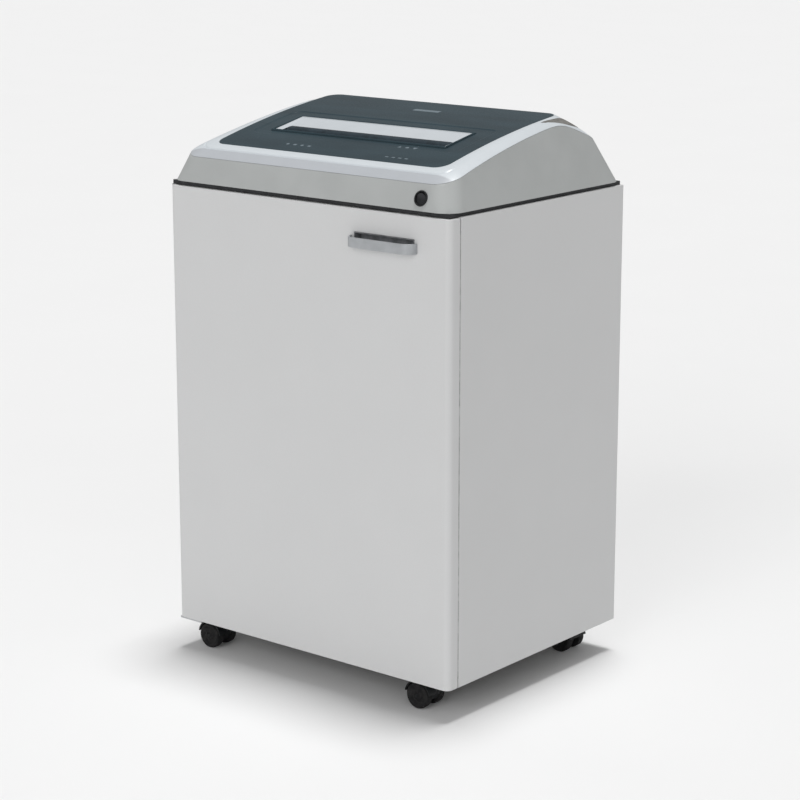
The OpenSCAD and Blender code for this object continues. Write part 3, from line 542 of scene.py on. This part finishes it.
def zinc_sheet():
    """Galvanised sheet: pale spangles of different tone and gloss."""
    color = (0.56, 0.575, 0.59)
    f = Finish("zinc_sheet", color, 0.4, 0.9)
    spangle = f.cells(120).outputs["Color"]
    f.paint(f.blend(spangle, shade(color, 0.82), shade(color, 1.08), 0.2, 0.8))
    f.rough(f.ranged(spangle, 0.3, 0.5))
    f.relief(f.noise(500, 2), 0.00004, 0.3)
    return f.material


def painted_casting():
    """Grey enamel over a rough casting."""
    color = (0.16, 0.18, 0.19)
    f = Finish("painted_casting", color, 0.45)
    f.paint(f.blend(f.noise(50, 3), shade(color, 0.85), shade(color, 1.15)))
    f.rough(f.ranged(f.noise(300, 3), 0.38, 0.6))
    f.relief(f.noise(350, 4), 0.0003, 0.6)
    return f.material


def bearing_bronze():
    """Sintered bronze with dark pores."""
    color = (0.52, 0.36, 0.16)
    f = Finish("bearing_bronze", color, 0.4, 1.0)
    f.paint(f.blend(f.noise(1400, 2), (0.22, 0.14, 0.07), color, 0.3, 0.5))
    f.rough(f.ranged(f.noise(700, 2), 0.34, 0.5))
    f.relief(f.noise(1400, 2), 0.00005, 0.5)
    return f.material


def green_board():
    """Green solder mask with faint tracks."""
    color = (0.015, 0.10, 0.045)
    f = Finish("green_board", color, 0.3)
    tracks = f.cells(260, (1, 1, 0.2)).outputs["Distance"]
    f.paint(f.blend(tracks, shade(color, 0.7), shade(color, 1.6), 0.3, 0.6))
    f.rough(f.ranged(tracks, 0.25, 0.4))
    f.relief(tracks, 0.00005, 0.4)
    return f.material


def frosted_film():
    """Cloudy plastic film that lets some light through."""
    color = (0.74, 0.78, 0.80)
    f = Finish("frosted_film", color, 0.38)
    f.shader.inputs["Alpha"].default_value = 0.55
    f.paint(f.blend(f.noise(30, 4), shade(color, 0.9), shade(color, 1.1)))
    f.rough(f.ranged(f.noise(60, 3), 0.3, 0.5))
    f.relief(f.noise(45, 4, 0.6, (1, 1, 0.35)), 0.004, 0.7)
    return f.material


def printed_mark():
    """Pale print on the panel, a little uneven."""
    color = (0.17, 0.215, 0.245)
    f = Finish("printed_mark", color, 0.5)
    f.paint(f.blend(f.noise(900, 2), shade(color, 0.8), shade(color, 1.1)))
    f.relief(f.noise(1500, 2), 0.00002, 0.3)
    return f.material


def floor_paint():
    """Seamless pale studio floor."""
    color = (0.86, 0.86, 0.86)
    f = Finish("floor_paint", color, 0.9)
    f.shader.inputs["Specular IOR Level"].default_value = 0.1
    f.paint(f.blend(f.noise(3, 2), shade(color, 0.995), shade(color, 1.0)))
    return f.material


LAMINATE = laminate()
HEAD_GREY = moulded_grey()
PALE = moulded_pale()
RIM = rim_pale()
HANDLE = handle_grey()
SLATE = slate_panel()
BLACK = black_moulding()
SOFT_BLACK = black_moulding("soft_black", (0.022, 0.023, 0.025), 0.5)
INSET_GREY = black_moulding("inset_grey", (0.17, 0.165, 0.155), 0.55)
RUBBER = tread_rubber()
STEEL = turned_steel()
ZINC = zinc_sheet()
CASTING = painted_casting()
BRONZE = bearing_bronze()
BOARD = green_board()
FILM = frosted_film()
MARK = printed_mark()
# Dark grey liner of the handle pocket, partly painted shade for the recess.
DARK_LINER_AND_SHADE = black_moulding("dark_liner_and_shade", (0.19, 0.195, 0.205), 0.55)
# Near-black walls of the paper slot: painted shade for the deep opening.
SLOT_SHADE = black_moulding("slot_painted_shade", (0.022, 0.034, 0.044), 0.6)
# Dark bottom board: painted shade that deepens the shadow under the cabinet.
UNDERSIDE_SHADE = black_moulding("board_painted_shade", (0.075, 0.073, 0.070), 0.6)
SEAL_GREY = black_moulding("seal_grey", (0.40, 0.40, 0.40), 0.8)


def wear(piece, finish, body):
    """Gives a piece its finish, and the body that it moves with."""
    piece.data.materials.clear()
    piece.data.materials.append(finish)
    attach(piece, body)
    return piece


# ---- the head ----

def head_cover():
    """Leaning walls of the head, a ruled shell from its base to its upper edge."""
    base = at_height(plan(x_out, y_front, y_back, base_corner), z_head)
    top = wall_edge(0, -seam_gap)
    inner_top = wall_edge(wall_thickness, -seam_gap)
    t = wall_thickness
    inner_base = at_height(plan(x_out - t, y_front + t, y_back - t, base_corner - t), z_head)
    outer = [between(base, top, i / wall_steps) for i in range(wall_steps + 1)]
    piece = solid_through("head_cover_shell", outer + [inner_top, inner_base])
    centre, out = switch_place()
    plug = [(axis_gap, -hole_reach), (switch_hole_radius, -hole_reach),
            (switch_hole_radius, hole_reach), (axis_gap, hole_reach)]
    cut(piece, lathe("hole", plug, centre, out))
    soften(piece, 0.9, 50)
    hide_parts("head_cover")
    wear(piece, HEAD_GREY, "cabinet")


def cut(piece, tool):
    """Takes the tool's shape out of a piece."""
    boolean = piece.modifiers.new("cut", "BOOLEAN")
    boolean.operation = "DIFFERENCE"
    boolean.solver = "EXACT"
    boolean.object = tool
    apply_modifiers(piece)
    bpy.data.objects.remove(tool)
    return piece


def rim_ring(share):
    """Ring on the rim's top, from the walls' edge (0) to the panel's edge (1).

    The top is slightly crowned, and a fine groove runs along its front."""
    wall = wall_edge(0, 0)
    edge = on_top(plan(glass_x, glass_front, y_crest, glass_corner), 0)
    crown = 3.0
    groove_at = 0.5
    groove_half = 0.05
    groove_depth = 2.2
    groove_wall = 1.6
    groove_end = 30
    groove_fade = 22
    in_groove = max(0.0, min(1.0, groove_wall - groove_wall * abs(share - groove_at) / groove_half))
    ring = []
    for (wx, wy, wz), (ex, ey, ez) in zip(wall, edge):
        z = wz + (ez - wz) * share + crown * 4 * share * (1 - share)
        frontness = max(0.0, min(1.0, (wall_front + groove_end - wy) / groove_fade))
        z -= groove_depth * in_groove * frontness
        ring.append((wx + (ex - wx) * share, wy + (ey - wy) * share, z))
    return ring


def head_rim():
    """Pale frame between the walls and the control panel, with rings close at the groove."""
    t = wall_thickness + gap
    edge = plan(glass_x, glass_front, y_crest, glass_corner)
    shares = [0, 0.03, 0.08, 0.16, 0.26, 0.36, 0.43, 0.45, 0.48,
              0.52, 0.55, 0.57, 0.66, 0.78, 0.88, 0.95, 1]
    rings = [rim_ring(s) for s in shares]
    rings.append(on_top(edge, -glass_thickness))
    rings.append(wall_edge(t, -wall_thickness))
    rings.append(wall_edge(t, -0.3))
    piece = solid_through("head_rim_frame", rings)
    soften(piece, 0.8, 55)
    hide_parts("head_rim")
    wear(piece, RIM, "cabinet")


lip = 4
mouth_x = funnel_high.x + gap
mouth_front = funnel_low.y - gap
mouth_rear = funnel_high.y + gap
tray_x = 197
tray_front = -104
tray_rear = 6
tray_depth = 1.1
tray_corner = 16
tray_slope = 2.2
mouth_corner = 2.5


def laid_between(outline, inner, steps, dz):
    """Rings on the head's top from one outline to another inside it."""
    return [on_top(between(outline, inner, i / steps), dz) for i in range(steps + 1)]


def control_panel():
    """Slate panel with a shallow tray round the paper opening."""
    outer = plan(glass_x - gap, glass_front + gap, y_crest - gap, glass_corner - gap)
    tray = plan(tray_x, tray_front, tray_rear, tray_corner)
    tray_foot = plan(tray_x - tray_slope, tray_front + tray_slope, tray_rear - tray_slope,
                     tray_corner - tray_slope)
    mouth = plan(mouth_x, mouth_front, mouth_rear, mouth_corner)
    rings = laid_between(outer, tray, 12, 0) + laid_between(tray_foot, mouth, 4, -tray_depth)
    rings += [on_top(mouth, -glass_thickness), on_top(outer, -glass_thickness)]
    piece = solid_through("control_panel_plate", rings)
    soften(piece, 0.7, 24)
    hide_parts("control_panel")
    wear(piece, SLATE, "cabinet")


def throat_ring(a, y0, y1, z0, z1, r):
    """Rounded ring whose front edge is at (y0, z0) and rear edge at (y1, z1)."""
    return [(x, y, z0 + (z1 - z0) * (y - y0) / (y1 - y0)) for x, y in plan(a, y0, y1, r)]


def throat_funnel():
    """Paper mouth: a rounded dark lip, a pale sloping guide behind, and a deep slot coloured near
    black as painted shade.

    Each ring is set by its half width, its front and rear edges, their heights and a corner."""
    a = mouth_x - lip
    y0 = mouth_front + lip
    y1 = mouth_rear - lip
    rise = 1.2
    z0 = z_head + top_height(y0)
    z1 = z_head + top_height(y1)
    slot_step = 11
    y_slot = y0 + slot_step
    y_guide = y_slot + slot_step
    z_guide = z_head + top_height(y_guide) - 4
    z_slot = z0 - 12
    z_low = funnel_low.z
    y_split = y_guide + 8
    z_split = z_guide + (z1 - 1.6 - z_guide) * (y_split - y_guide) / (y1 - 3 - y_guide)
    end = 8
    far = a + lip - gap
    front = mouth_front + gap
    rear = mouth_rear - gap
    frame_rings = [
        throat_ring(far, front, rear, z0 - tray_depth, z1 - tray_depth, mouth_corner),
        throat_ring(a + lip - 1, mouth_front + 1, mouth_rear - 1, z0 + rise - 0.3, z1 + rise - 0.3,
                    mouth_corner),
        throat_ring(a + lip / 2, y0 - lip / 2, y1 + lip / 2, z0 + rise, z1 + rise, 3),
        throat_ring(a + 0.8, y0 - 0.8, y1 + 0.8, z0 + rise - 0.3, z1 + rise - 0.3, 3),
        throat_ring(a, y0, y1, z0, z1, 3),
        throat_ring(a, y0, y1, z0 - 3.4, z1 - 3.4, 3),
        throat_ring(far, front, rear, z0 - 4, z1 - 4, mouth_corner),
    ]
    guide_rings = [
        throat_ring(a - 0.15, y0 + 0.15, y1 - 0.15, z0 - 0.4, z1 - 0.2, 3),
        throat_ring(a - 0.8, y0 + 0.5, y1 - 3, z0 - 1.4, z1 - 1.6, 3),
        throat_ring(a - end, y0 + 0.8, y_split, z0 - 2.4, z_split, 3),
        throat_ring(a - end, y0 + 0.8, y_split + 0.5, z0 - 4, z_split - 2, 3),
        throat_ring(a - 0.15, y0 + 0.15, y1 - 0.15, z0 - 3.6, z1 - 3.6, 3),
    ]
    chute_rings = [
        throat_ring(a - end - 0.1, y0 + 0.9, y_split - 0.2, z0 - 2.7, z_split - 0.3, 3),
        throat_ring(a - end - 0.4, y0 + 2.0, y_guide, z0 - 4.5, z_guide, 2.5),
        throat_ring(a - end - 0.6, y0 + 3.0, y_guide - 1.6, z0 - 5.5, z_guide - 3.6, 2.5),
        throat_ring(a - 9, y_slot - 4.5, y_slot + 4.5, z_slot, z_slot, 2),
        throat_ring(a - 9, y_slot - 4.5, y_slot + 4.5, z_low, z_low, 2),
        throat_ring(a - 7, y_slot - 6.5, y_slot + 6.5, z_low, z_low, 2.5),
        throat_ring(a - 7, y_slot - 6.5, y_slot + 6.5, z_slot - 2, z_slot - 2, 2.5),
        throat_ring(a - end + 0.6, y0 + 0.9, y_split + 0.4, z0 - 5, z_split - 3, 3),
    ]
    for name, rings, finish in (
        ("throat_frame", frame_rings, SLATE),
        ("throat_guide", guide_rings, PALE),
        # The chute's near-black colour is painted shade down the slot.
        ("throat_chute", chute_rings, SLOT_SHADE),
    ):
        piece = solid_through(name, rings)
        soften(piece, 0, 50)
        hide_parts("throat_funnel")
        wear(piece, finish, "cabinet")


def surface_plate(name, points, lift, thickness, low=0.0):
    """A thin closed plate lying on the panel: points are its outline seen from above."""
    n = len(points)
    top = on_top(points, lift - low)
    bottom = on_top(points, lift - low - thickness)
    faces = [tuple(range(n)), tuple(reversed(range(n, 2 * n)))]
    for i in range(n):
        k = (i + 1) % n
        faces.append((k, i, n + i, n + k))
    return outward(new_piece(name, top + bottom, faces))


def ellipse(cx, cy, rx, ry, steps=28):
    turns = [2 * math.pi * i / steps for i in range(steps)]
    return [(cx + rx * math.cos(a), cy + ry * math.sin(a)) for a in turns]


def bar(cx, cy, w, d):
    """Outline of a bar, anticlockwise from its front left corner."""
    return [(cx + i * w / 2, cy + j * d / 2) for i, j in ((-1, -1), (1, -1), (1, 1), (-1, 1))]


def arrow(cx, cy, size, way):
    """A triangle that points to the rear (way 1) or to the front (way -1)."""
    base = cy - way * size * 0.5
    return [(cx - size * 0.6, base), (cx + size * 0.6, base), (cx, cy + way * size * 0.6)]


def panel_marks():
    """Generic printed symbols: two groups of four, feed arrows round a dot, and a blank bar."""
    shapes = []
    for i, x in enumerate((-92, -78, -64, -50)):
        shapes.append(ellipse(x, -134, 2.6, 2.6) if i % 2 == 0 else bar(x, -134, 6, 4))
    shapes.append(arrow(94, -100, 7, 1))
    shapes.append(ellipse(108, -100, 3.2, 3.2))
    shapes.append(arrow(122, -100, 7, -1))
    for x in (104, 116, 128, 140):
        shapes.append(bar(x, -141, 6, 2.4))
    shapes.append(bar(11, 67, 50, 9))
    print_lift = 0.12
    print_thickness = 0.3
    plates = []
    for i, outline in enumerate(shapes):
        x, y = outline[0]
        in_tray = -tray_x < x < tray_x and tray_front < y < tray_rear
        sunk = tray_depth if in_tray else 0
        plates.append(surface_plate(f"mark{i}", outline, print_lift, print_thickness, sunk))
    piece = joined("panel_marks", plates)
    piece.data.shade_flat()
    wear(piece, MARK, "cabinet")


def rim_insets():
    """Small dark patches on the rim, just behind the crest on each side.

    A grid of points follows the rim's rings, and narrows towards both ends."""
    plates = []
    columns = 7
    rows = 9
    nearest = 0.34
    breadth = 0.5
    narrowing = 0.55
    lift = 0.55
    thickness = 1.2
    before_corner = 9
    past_corner = 0.62
    lines = [rim_ring(nearest + breadth * c / (columns - 1)) for c in range(columns)]
    count = len(lines[0])
    first = count - before_corner
    step = (corner_steps * past_corner + before_corner) / (rows - 1)
    for flip in (1, -1):
        top = []
        for j in range(rows):
            pinch = 1 - narrowing * abs(2 * j / (rows - 1) - 1) ** 2
            i = (first + round(j * step)) % count
            for c in range(columns):
                near = Vector(lines[0][i])
                far = Vector(lines[-1][i])
                p = Vector(lines[c][i])
                p += ((near + far) / 2 - p) * (1 - pinch)
                top.append((flip * p.x, p.y, p.z + lift))
        bottom = [(x, y, z - thickness) for x, y, z in top]
        n = len(top)
        faces = []
        for j in range(rows - 1):
            for c in range(columns - 1):
                a = j * columns + c
                faces.append((a, a + 1, a + columns + 1, a + columns))
                faces.append((n + a, n + a + columns, n + a + columns + 1, n + a + 1))
        loop = list(range(columns))
        loop += [j * columns + columns - 1 for j in range(1, rows)]
        loop += [(rows - 1) * columns + c for c in range(columns - 2, -1, -1)]
        loop += [j * columns for j in range(rows - 2, 0, -1)]
        for a, b in zip(loop, loop[1:] + loop[:1]):
            faces.append((a, b, n + b, n + a))
        plates.append(outward(new_piece("inset", top + bottom, faces)))
    piece = joined("rim_insets", plates)
    soften(piece, 0.15, 40)
    wear(piece, INSET_GREY, "cabinet")


# ---- the cabinet, the door and their fittings ----

def boards():
    """Cabinet boards and the door slab, with eased edges; the bottom board is coloured dark as
    painted shade, to deepen the shadow under the cabinet.
    """
    for node in ("side_panel_left", "side_panel_right", "back_panel"):
        wear(softened_node(node, 0.8, 50), LAMINATE, "cabinet")
    # The bottom board's dark colour is painted shade for the floor under the cabinet.
    wear(softened_node("bottom_panel", 0.8, 50), UNDERSIDE_SHADE, "cabinet")
    wear(softened_node("door_panel", 1.4, 60, 4), LAMINATE, "door")


def door_fittings():
    """Handle scoop, the pocket's liner, a dark grey that is partly painted shade for the recess,
    and the catch plate.
    """
    wear(softened_node("door_handle", 0.7, 50), HANDLE, "door")
    # The liner is dark grey plastic, darkened further as painted shade inside the pocket.
    wear(softened_node("handle_cup", 0.3, 50), DARK_LINER_AND_SHADE, "door")
    wear(softened_node("catch_plate", 0.2, 50), STEEL, "door")


def door_seal():
    """Pale foam strip along the front edges of the side panels, behind the door."""
    parts = []
    inset = 0.5
    taper = 0.4
    thickness = 1.6
    above_foot = 14
    below_top = 22
    door_low, door_high = box_mm("door_panel")
    for name in ("side_panel_left", "side_panel_right"):
        low, high = box_mm(name)
        back = low.y
        face = low.y - thickness
        section = [(low.x + inset, back), (high.x - inset, back),
                   (high.x - inset - taper, face), (low.x + inset + taper, face)]
        z0 = max(low.z, door_low.z) + above_foot
        z1 = min(high.z, door_high.z) - below_top
        parts.append(prism("strip", section, z0, z1))
    piece = joined("door_seal", parts)
    soften(piece, 0.3, 40)
    wear(piece, SEAL_GREY, "cabinet")


def switch_place():
    """Centre of the round switch on the leaning front wall, and the way it faces."""
    low, high = box_mm("switch_bezel")
    lean = math.atan(lean_side)
    centre = Vector(((low.x + high.x) / 2, y_front + lean_side * switch_rise,
                     z_head + switch_rise))
    return centre, Vector((0, -math.cos(lean), math.sin(lean)))


def switch():
    """Round mains switch: a turned bezel and its rocker."""
    centre, out = switch_place()
    profile = [(9.0, 1.6), (9.4, 2.1), (10.6, 2.2), (11.3, 1.5), (11.5, 0.6), (11.4, 0.2),
               (10, 0.2), (10, -14), (axis_gap, -14), (axis_gap, -10), (8.95, -10), (8.95, 0)]
    bezel = lathe("switch_bezel_ring", profile, centre, out)
    soften(bezel, 0, 40)
    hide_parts("switch_bezel")
    wear(bezel, BLACK, "cabinet")
    wear(softened_node("switch_rocker", 0.35, 30), SOFT_BLACK, "power_switch")


def casters():
    """Twin wheels with a rolled tread and a dished hub; the forks only get eased edges."""
    wheel_width = 14
    bore = 3.05
    for place in ("fl", "fr", "rl", "rr"):
        low, high = box_mm("caster_wheels_" + place)
        centre = (low + high) / 2
        r = (high.x - low.x) / 2
        half = (high.y - low.y) / 2
        inner = half - wheel_width
        section = [(bore, inner), (r - 2.4, inner), (r - 0.9, inner + 0.7), (r, inner + 2.4),
                   (r, half - 2.6), (r - 0.9, half - 0.9), (r - 2.6, half), (r - 4.4, half),
                   (r - 5.4, half - 1.4), (8.4, half - 2.2), (7.4, half - 0.5),
                   (6.2, half - 0.1), (bore, half - 0.1)]
        wheels = []
        for s in (-1, 1):
            profile = [(radius, s * height) for radius, height in section]
            wheels.append(lathe("wheel", profile, centre, (0, 1, 0), 56))
        pair = joined("caster_wheels_" + place + "_pair", wheels)
        soften(pair, 0, 40)
        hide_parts("caster_wheels_" + place)
        wear(pair, RUBBER, "wheels_" + place)
        fork = softened_node("caster_body_" + place, 0.4, 45)
        wear(fork, BLACK, "caster_" + place)


def plain_nodes():
    """CAD nodes that keep their shape and take a finish."""
    finishes = {
        SOFT_BLACK: ("seam_frame", "magnet_catch", "door_sensor", "vent_grille", "power_inlet",
                     "paper_sensors", "fan_cowl"),
        STEEL: ("door_pivots", "cutter_plate_left", "cutter_plate_right", "idler_axle",
                "front_cutter_roll", "rear_cutter_roll", "front_sync_gear", "rear_sync_gear",
                "drive_gear", "idler_gear", "motor_rotor", "motor_pinion", "cabinet_screws"),
        ZINC: ("deck_plate", "deck_rails", "tie_rods", "front_comb", "rear_comb",
               "run_capacitor", "bag_rails", "bag_hoop", "caster_stems"),
        CASTING: ("motor_housing", "motor_end_bells"),
        BRONZE: ("shaft_bearings",),
        BOARD: ("control_board", "power_board"),
        PALE: ("motor_fan", "door_bushes"),
    }
    for finish, names in finishes.items():
        for name in names:
            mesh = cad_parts[name].data
            mesh.materials.clear()
            mesh.materials.append(finish)


def waste_bag():
    """Film bag hung in the hoop: creased walls, a folded cuff over the wire, a rounded foot."""
    low, high = box_mm("waste_bag")
    hoop_low, hoop_high = box_mm("bag_hoop")
    middle_y = (low.y + high.y) / 2
    hoop_shift = (hoop_high.y + hoop_low.y) / 2 - middle_y
    wire = (hoop_high.z - hoop_low.z) / 2
    z_wire = (hoop_high.z + hoop_low.z) / 2
    steps = 160
    squareness = 6
    clearance = 6
    foot_height = 14
    below_wire = 8
    levels = 26
    cuff_gap = 0.9
    cuff_slack = 1.2
    cuff_steps = 6

    def ring(a, b, z, crease, shift=0):
        """One level of the bag: half sizes a and b, squared corners, and folds crease deep."""
        points = []
        for i in range(steps):
            t = 2 * math.pi * i / steps
            c, s = math.cos(t), math.sin(t)
            k = (abs(c / a) ** squareness + abs(s / b) ** squareness) ** (-1 / squareness)
            fold = crease * (math.sin(9 * t + z / 70) + 0.6 * math.sin(17 * t - z / 45 + 1.3)
                             + 0.5 * math.sin(31 * t + z / 90))
            points.append((c * (k + fold), middle_y + s * (k + fold) + shift, z))
        return points

    a = high.x - clearance
    b = (high.y - low.y) / 2 - clearance
    rings = []
    for f in (0.02, 0.3, 0.6, 0.85, 0.95, 1):
        rings.append(ring(a * f, b * f, low.z + 0.5 + foot_height * f ** 8, 1.2 * f))
    for j in range(1, levels + 1):
        t = j / levels
        z = low.z + foot_height + (z_wire - below_wire - low.z - foot_height) * t
        rings.append(ring(a, b, z, 1.6 * (1 - 0.5 * t)))
    wire_a = hoop_high.x - wire
    wire_b = (hoop_high.y - hoop_low.y) / 2 - wire
    for k in range(cuff_steps + 1):
        t = math.pi * k / cuff_steps
        reach = -(wire + cuff_gap) * math.cos(t)
        z = z_wire + (wire + cuff_gap) * math.sin(t)
        rings.append(ring(wire_a + reach, wire_b + reach, z, 0, hoop_shift))
    cuff_a = hoop_high.x + cuff_slack
    cuff_b = (hoop_high.y - hoop_low.y) / 2 + cuff_slack
    for drop in (12, 26, 42):
        rings.append(ring(cuff_a, cuff_b, z_wire - drop, 0.5, hoop_shift))
    faces = []
    for j in range(len(rings) - 1):
        for i in range(steps):
            k = (i + 1) % steps
            faces.append((j * steps + i, j * steps + k, (j + 1) * steps + k, (j + 1) * steps + i))
    faces.append(tuple(reversed(range(steps))))
    piece = outward(new_piece("waste_bag_film", [p for r in rings for p in r], faces))
    skin = piece.modifiers.new("skin", "SOLIDIFY")
    skin.thickness = 0.4 * MM
    skin.offset = 0
    piece.data.shade_smooth()
    apply_modifiers(piece)
    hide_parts("waste_bag")
    wear(piece, FILM, "cabinet")


def screw_head(radius, height):
    """One pan head with a dished top, standing on z = 0."""
    profile = [(axis_gap, 0), (radius, 0), (radius, height * 0.35), (radius * 0.86, height * 0.8),
               (radius * 0.55, height), (radius * 0.3, height), (axis_gap, height * 0.35)]
    piece = lathe("screw_head", profile, (0, 0, 0), (0, 0, 1), 20)
    piece.data.shade_smooth()
    return piece


def back_screws(grid):
    """Pan heads that hold the back board: a column down each side and a row along its foot."""
    low, high = box_mm("back_panel")
    width = high.x - low.x
    height = high.z - low.z
    head = {"radius": 3.6, "height": 1.6}
    parts = [
        repeated(screw_head(**head), grid, STEEL, (0, high.y, (low.z + high.z) / 2), (0, 1, 0),
                 Columns=2, Rows=6, Width=(width - 20) * MM, Height=(height - 60) * MM),
        repeated(screw_head(**head), grid, STEEL, (0, high.y, low.z + 14), (0, 1, 0),
                 Columns=4, Rows=1, Width=(width - 150) * MM, Height=0.0),
    ]
    piece = joined("back_board_screws", parts)
    wear(piece, STEEL, "cabinet")


def fan_ribs(ring_tree):
    """Fine ribs round the hub of the motor's fan."""
    low, high = box_mm("motor_fan")
    half_width = 0.6
    half_length = 6
    rib = prism("rib", bar(0, 0, 2 * half_width, 2 * half_width), -half_length, half_length)
    piece = repeated(rib, ring_tree, PALE, (low + high) / 2, (1, 0, 0), Count=24, Radius=12.2 * MM)
    piece.name = "fan_hub_ribs"
    wear(piece, PALE, "rotor")


# ---- the studio ----

def studio():
    """Pale floor, an even sky, three soft suns and the camera.

    The top sun stands slightly behind, so the shadow at the foot falls towards the camera."""
    size = 60000
    corners = [(-size, -size, 0), (size, -size, 0), (size, size, 0), (-size, size, 0)]
    floor = new_piece("floor", corners, [(0, 1, 2, 3)])
    floor.data.materials.append(floor_paint())
    world = bpy.data.worlds.new("studio")
    world.use_nodes = True
    sky = world.node_tree.nodes["Background"]
    sky.inputs["Color"].default_value = (1, 1, 1, 1)
    sky.inputs["Strength"].default_value = 0.28
    bpy.context.scene.world = world
    bpy.context.scene.view_settings.view_transform = "Standard"
    # Name, energy, spread, lean from straight down and turn, in degrees
    for name, energy, spread, pitch, turn in (
        ("key", 0.95, 40, 68, 10),
        ("top", 2.0, 16, 6, 180),
        ("fill", 0.24, 40, 70, 60),
    ):
        light = bpy.data.lights.new(name, "SUN")
        light.energy = energy
        light.angle = math.radians(spread)
        lamp = bpy.data.objects.new(name, light)
        lamp.rotation_euler = (math.radians(pitch), 0, math.radians(turn))
        bpy.context.scene.collection.objects.link(lamp)
    looking_down = 13.6
    turned = 39.26
    lens = bpy.data.cameras.new("camera")
    lens.lens = 105.5
    lens.sensor_width = 36
    lens.clip_end = 200
    camera = bpy.data.objects.new("camera", lens)
    camera.location = Vector((2233, -2716, 1255)) * MM
    camera.rotation_euler = (math.radians(90 - looking_down), 0, math.radians(turned))
    bpy.context.scene.collection.objects.link(camera)
    bpy.context.scene.camera = camera


studio()
grid = repeat_tree("repeat_over_grid", "grid")
ring_repeat = repeat_tree("repeat_round_ring", "ring")
head_cover()
head_rim()
control_panel()
throat_funnel()
panel_marks()
rim_insets()
boards()
door_fittings()
door_seal()
switch()
casters()
plain_nodes()
waste_bag()
back_screws(grid)
fan_ribs(ring_repeat)
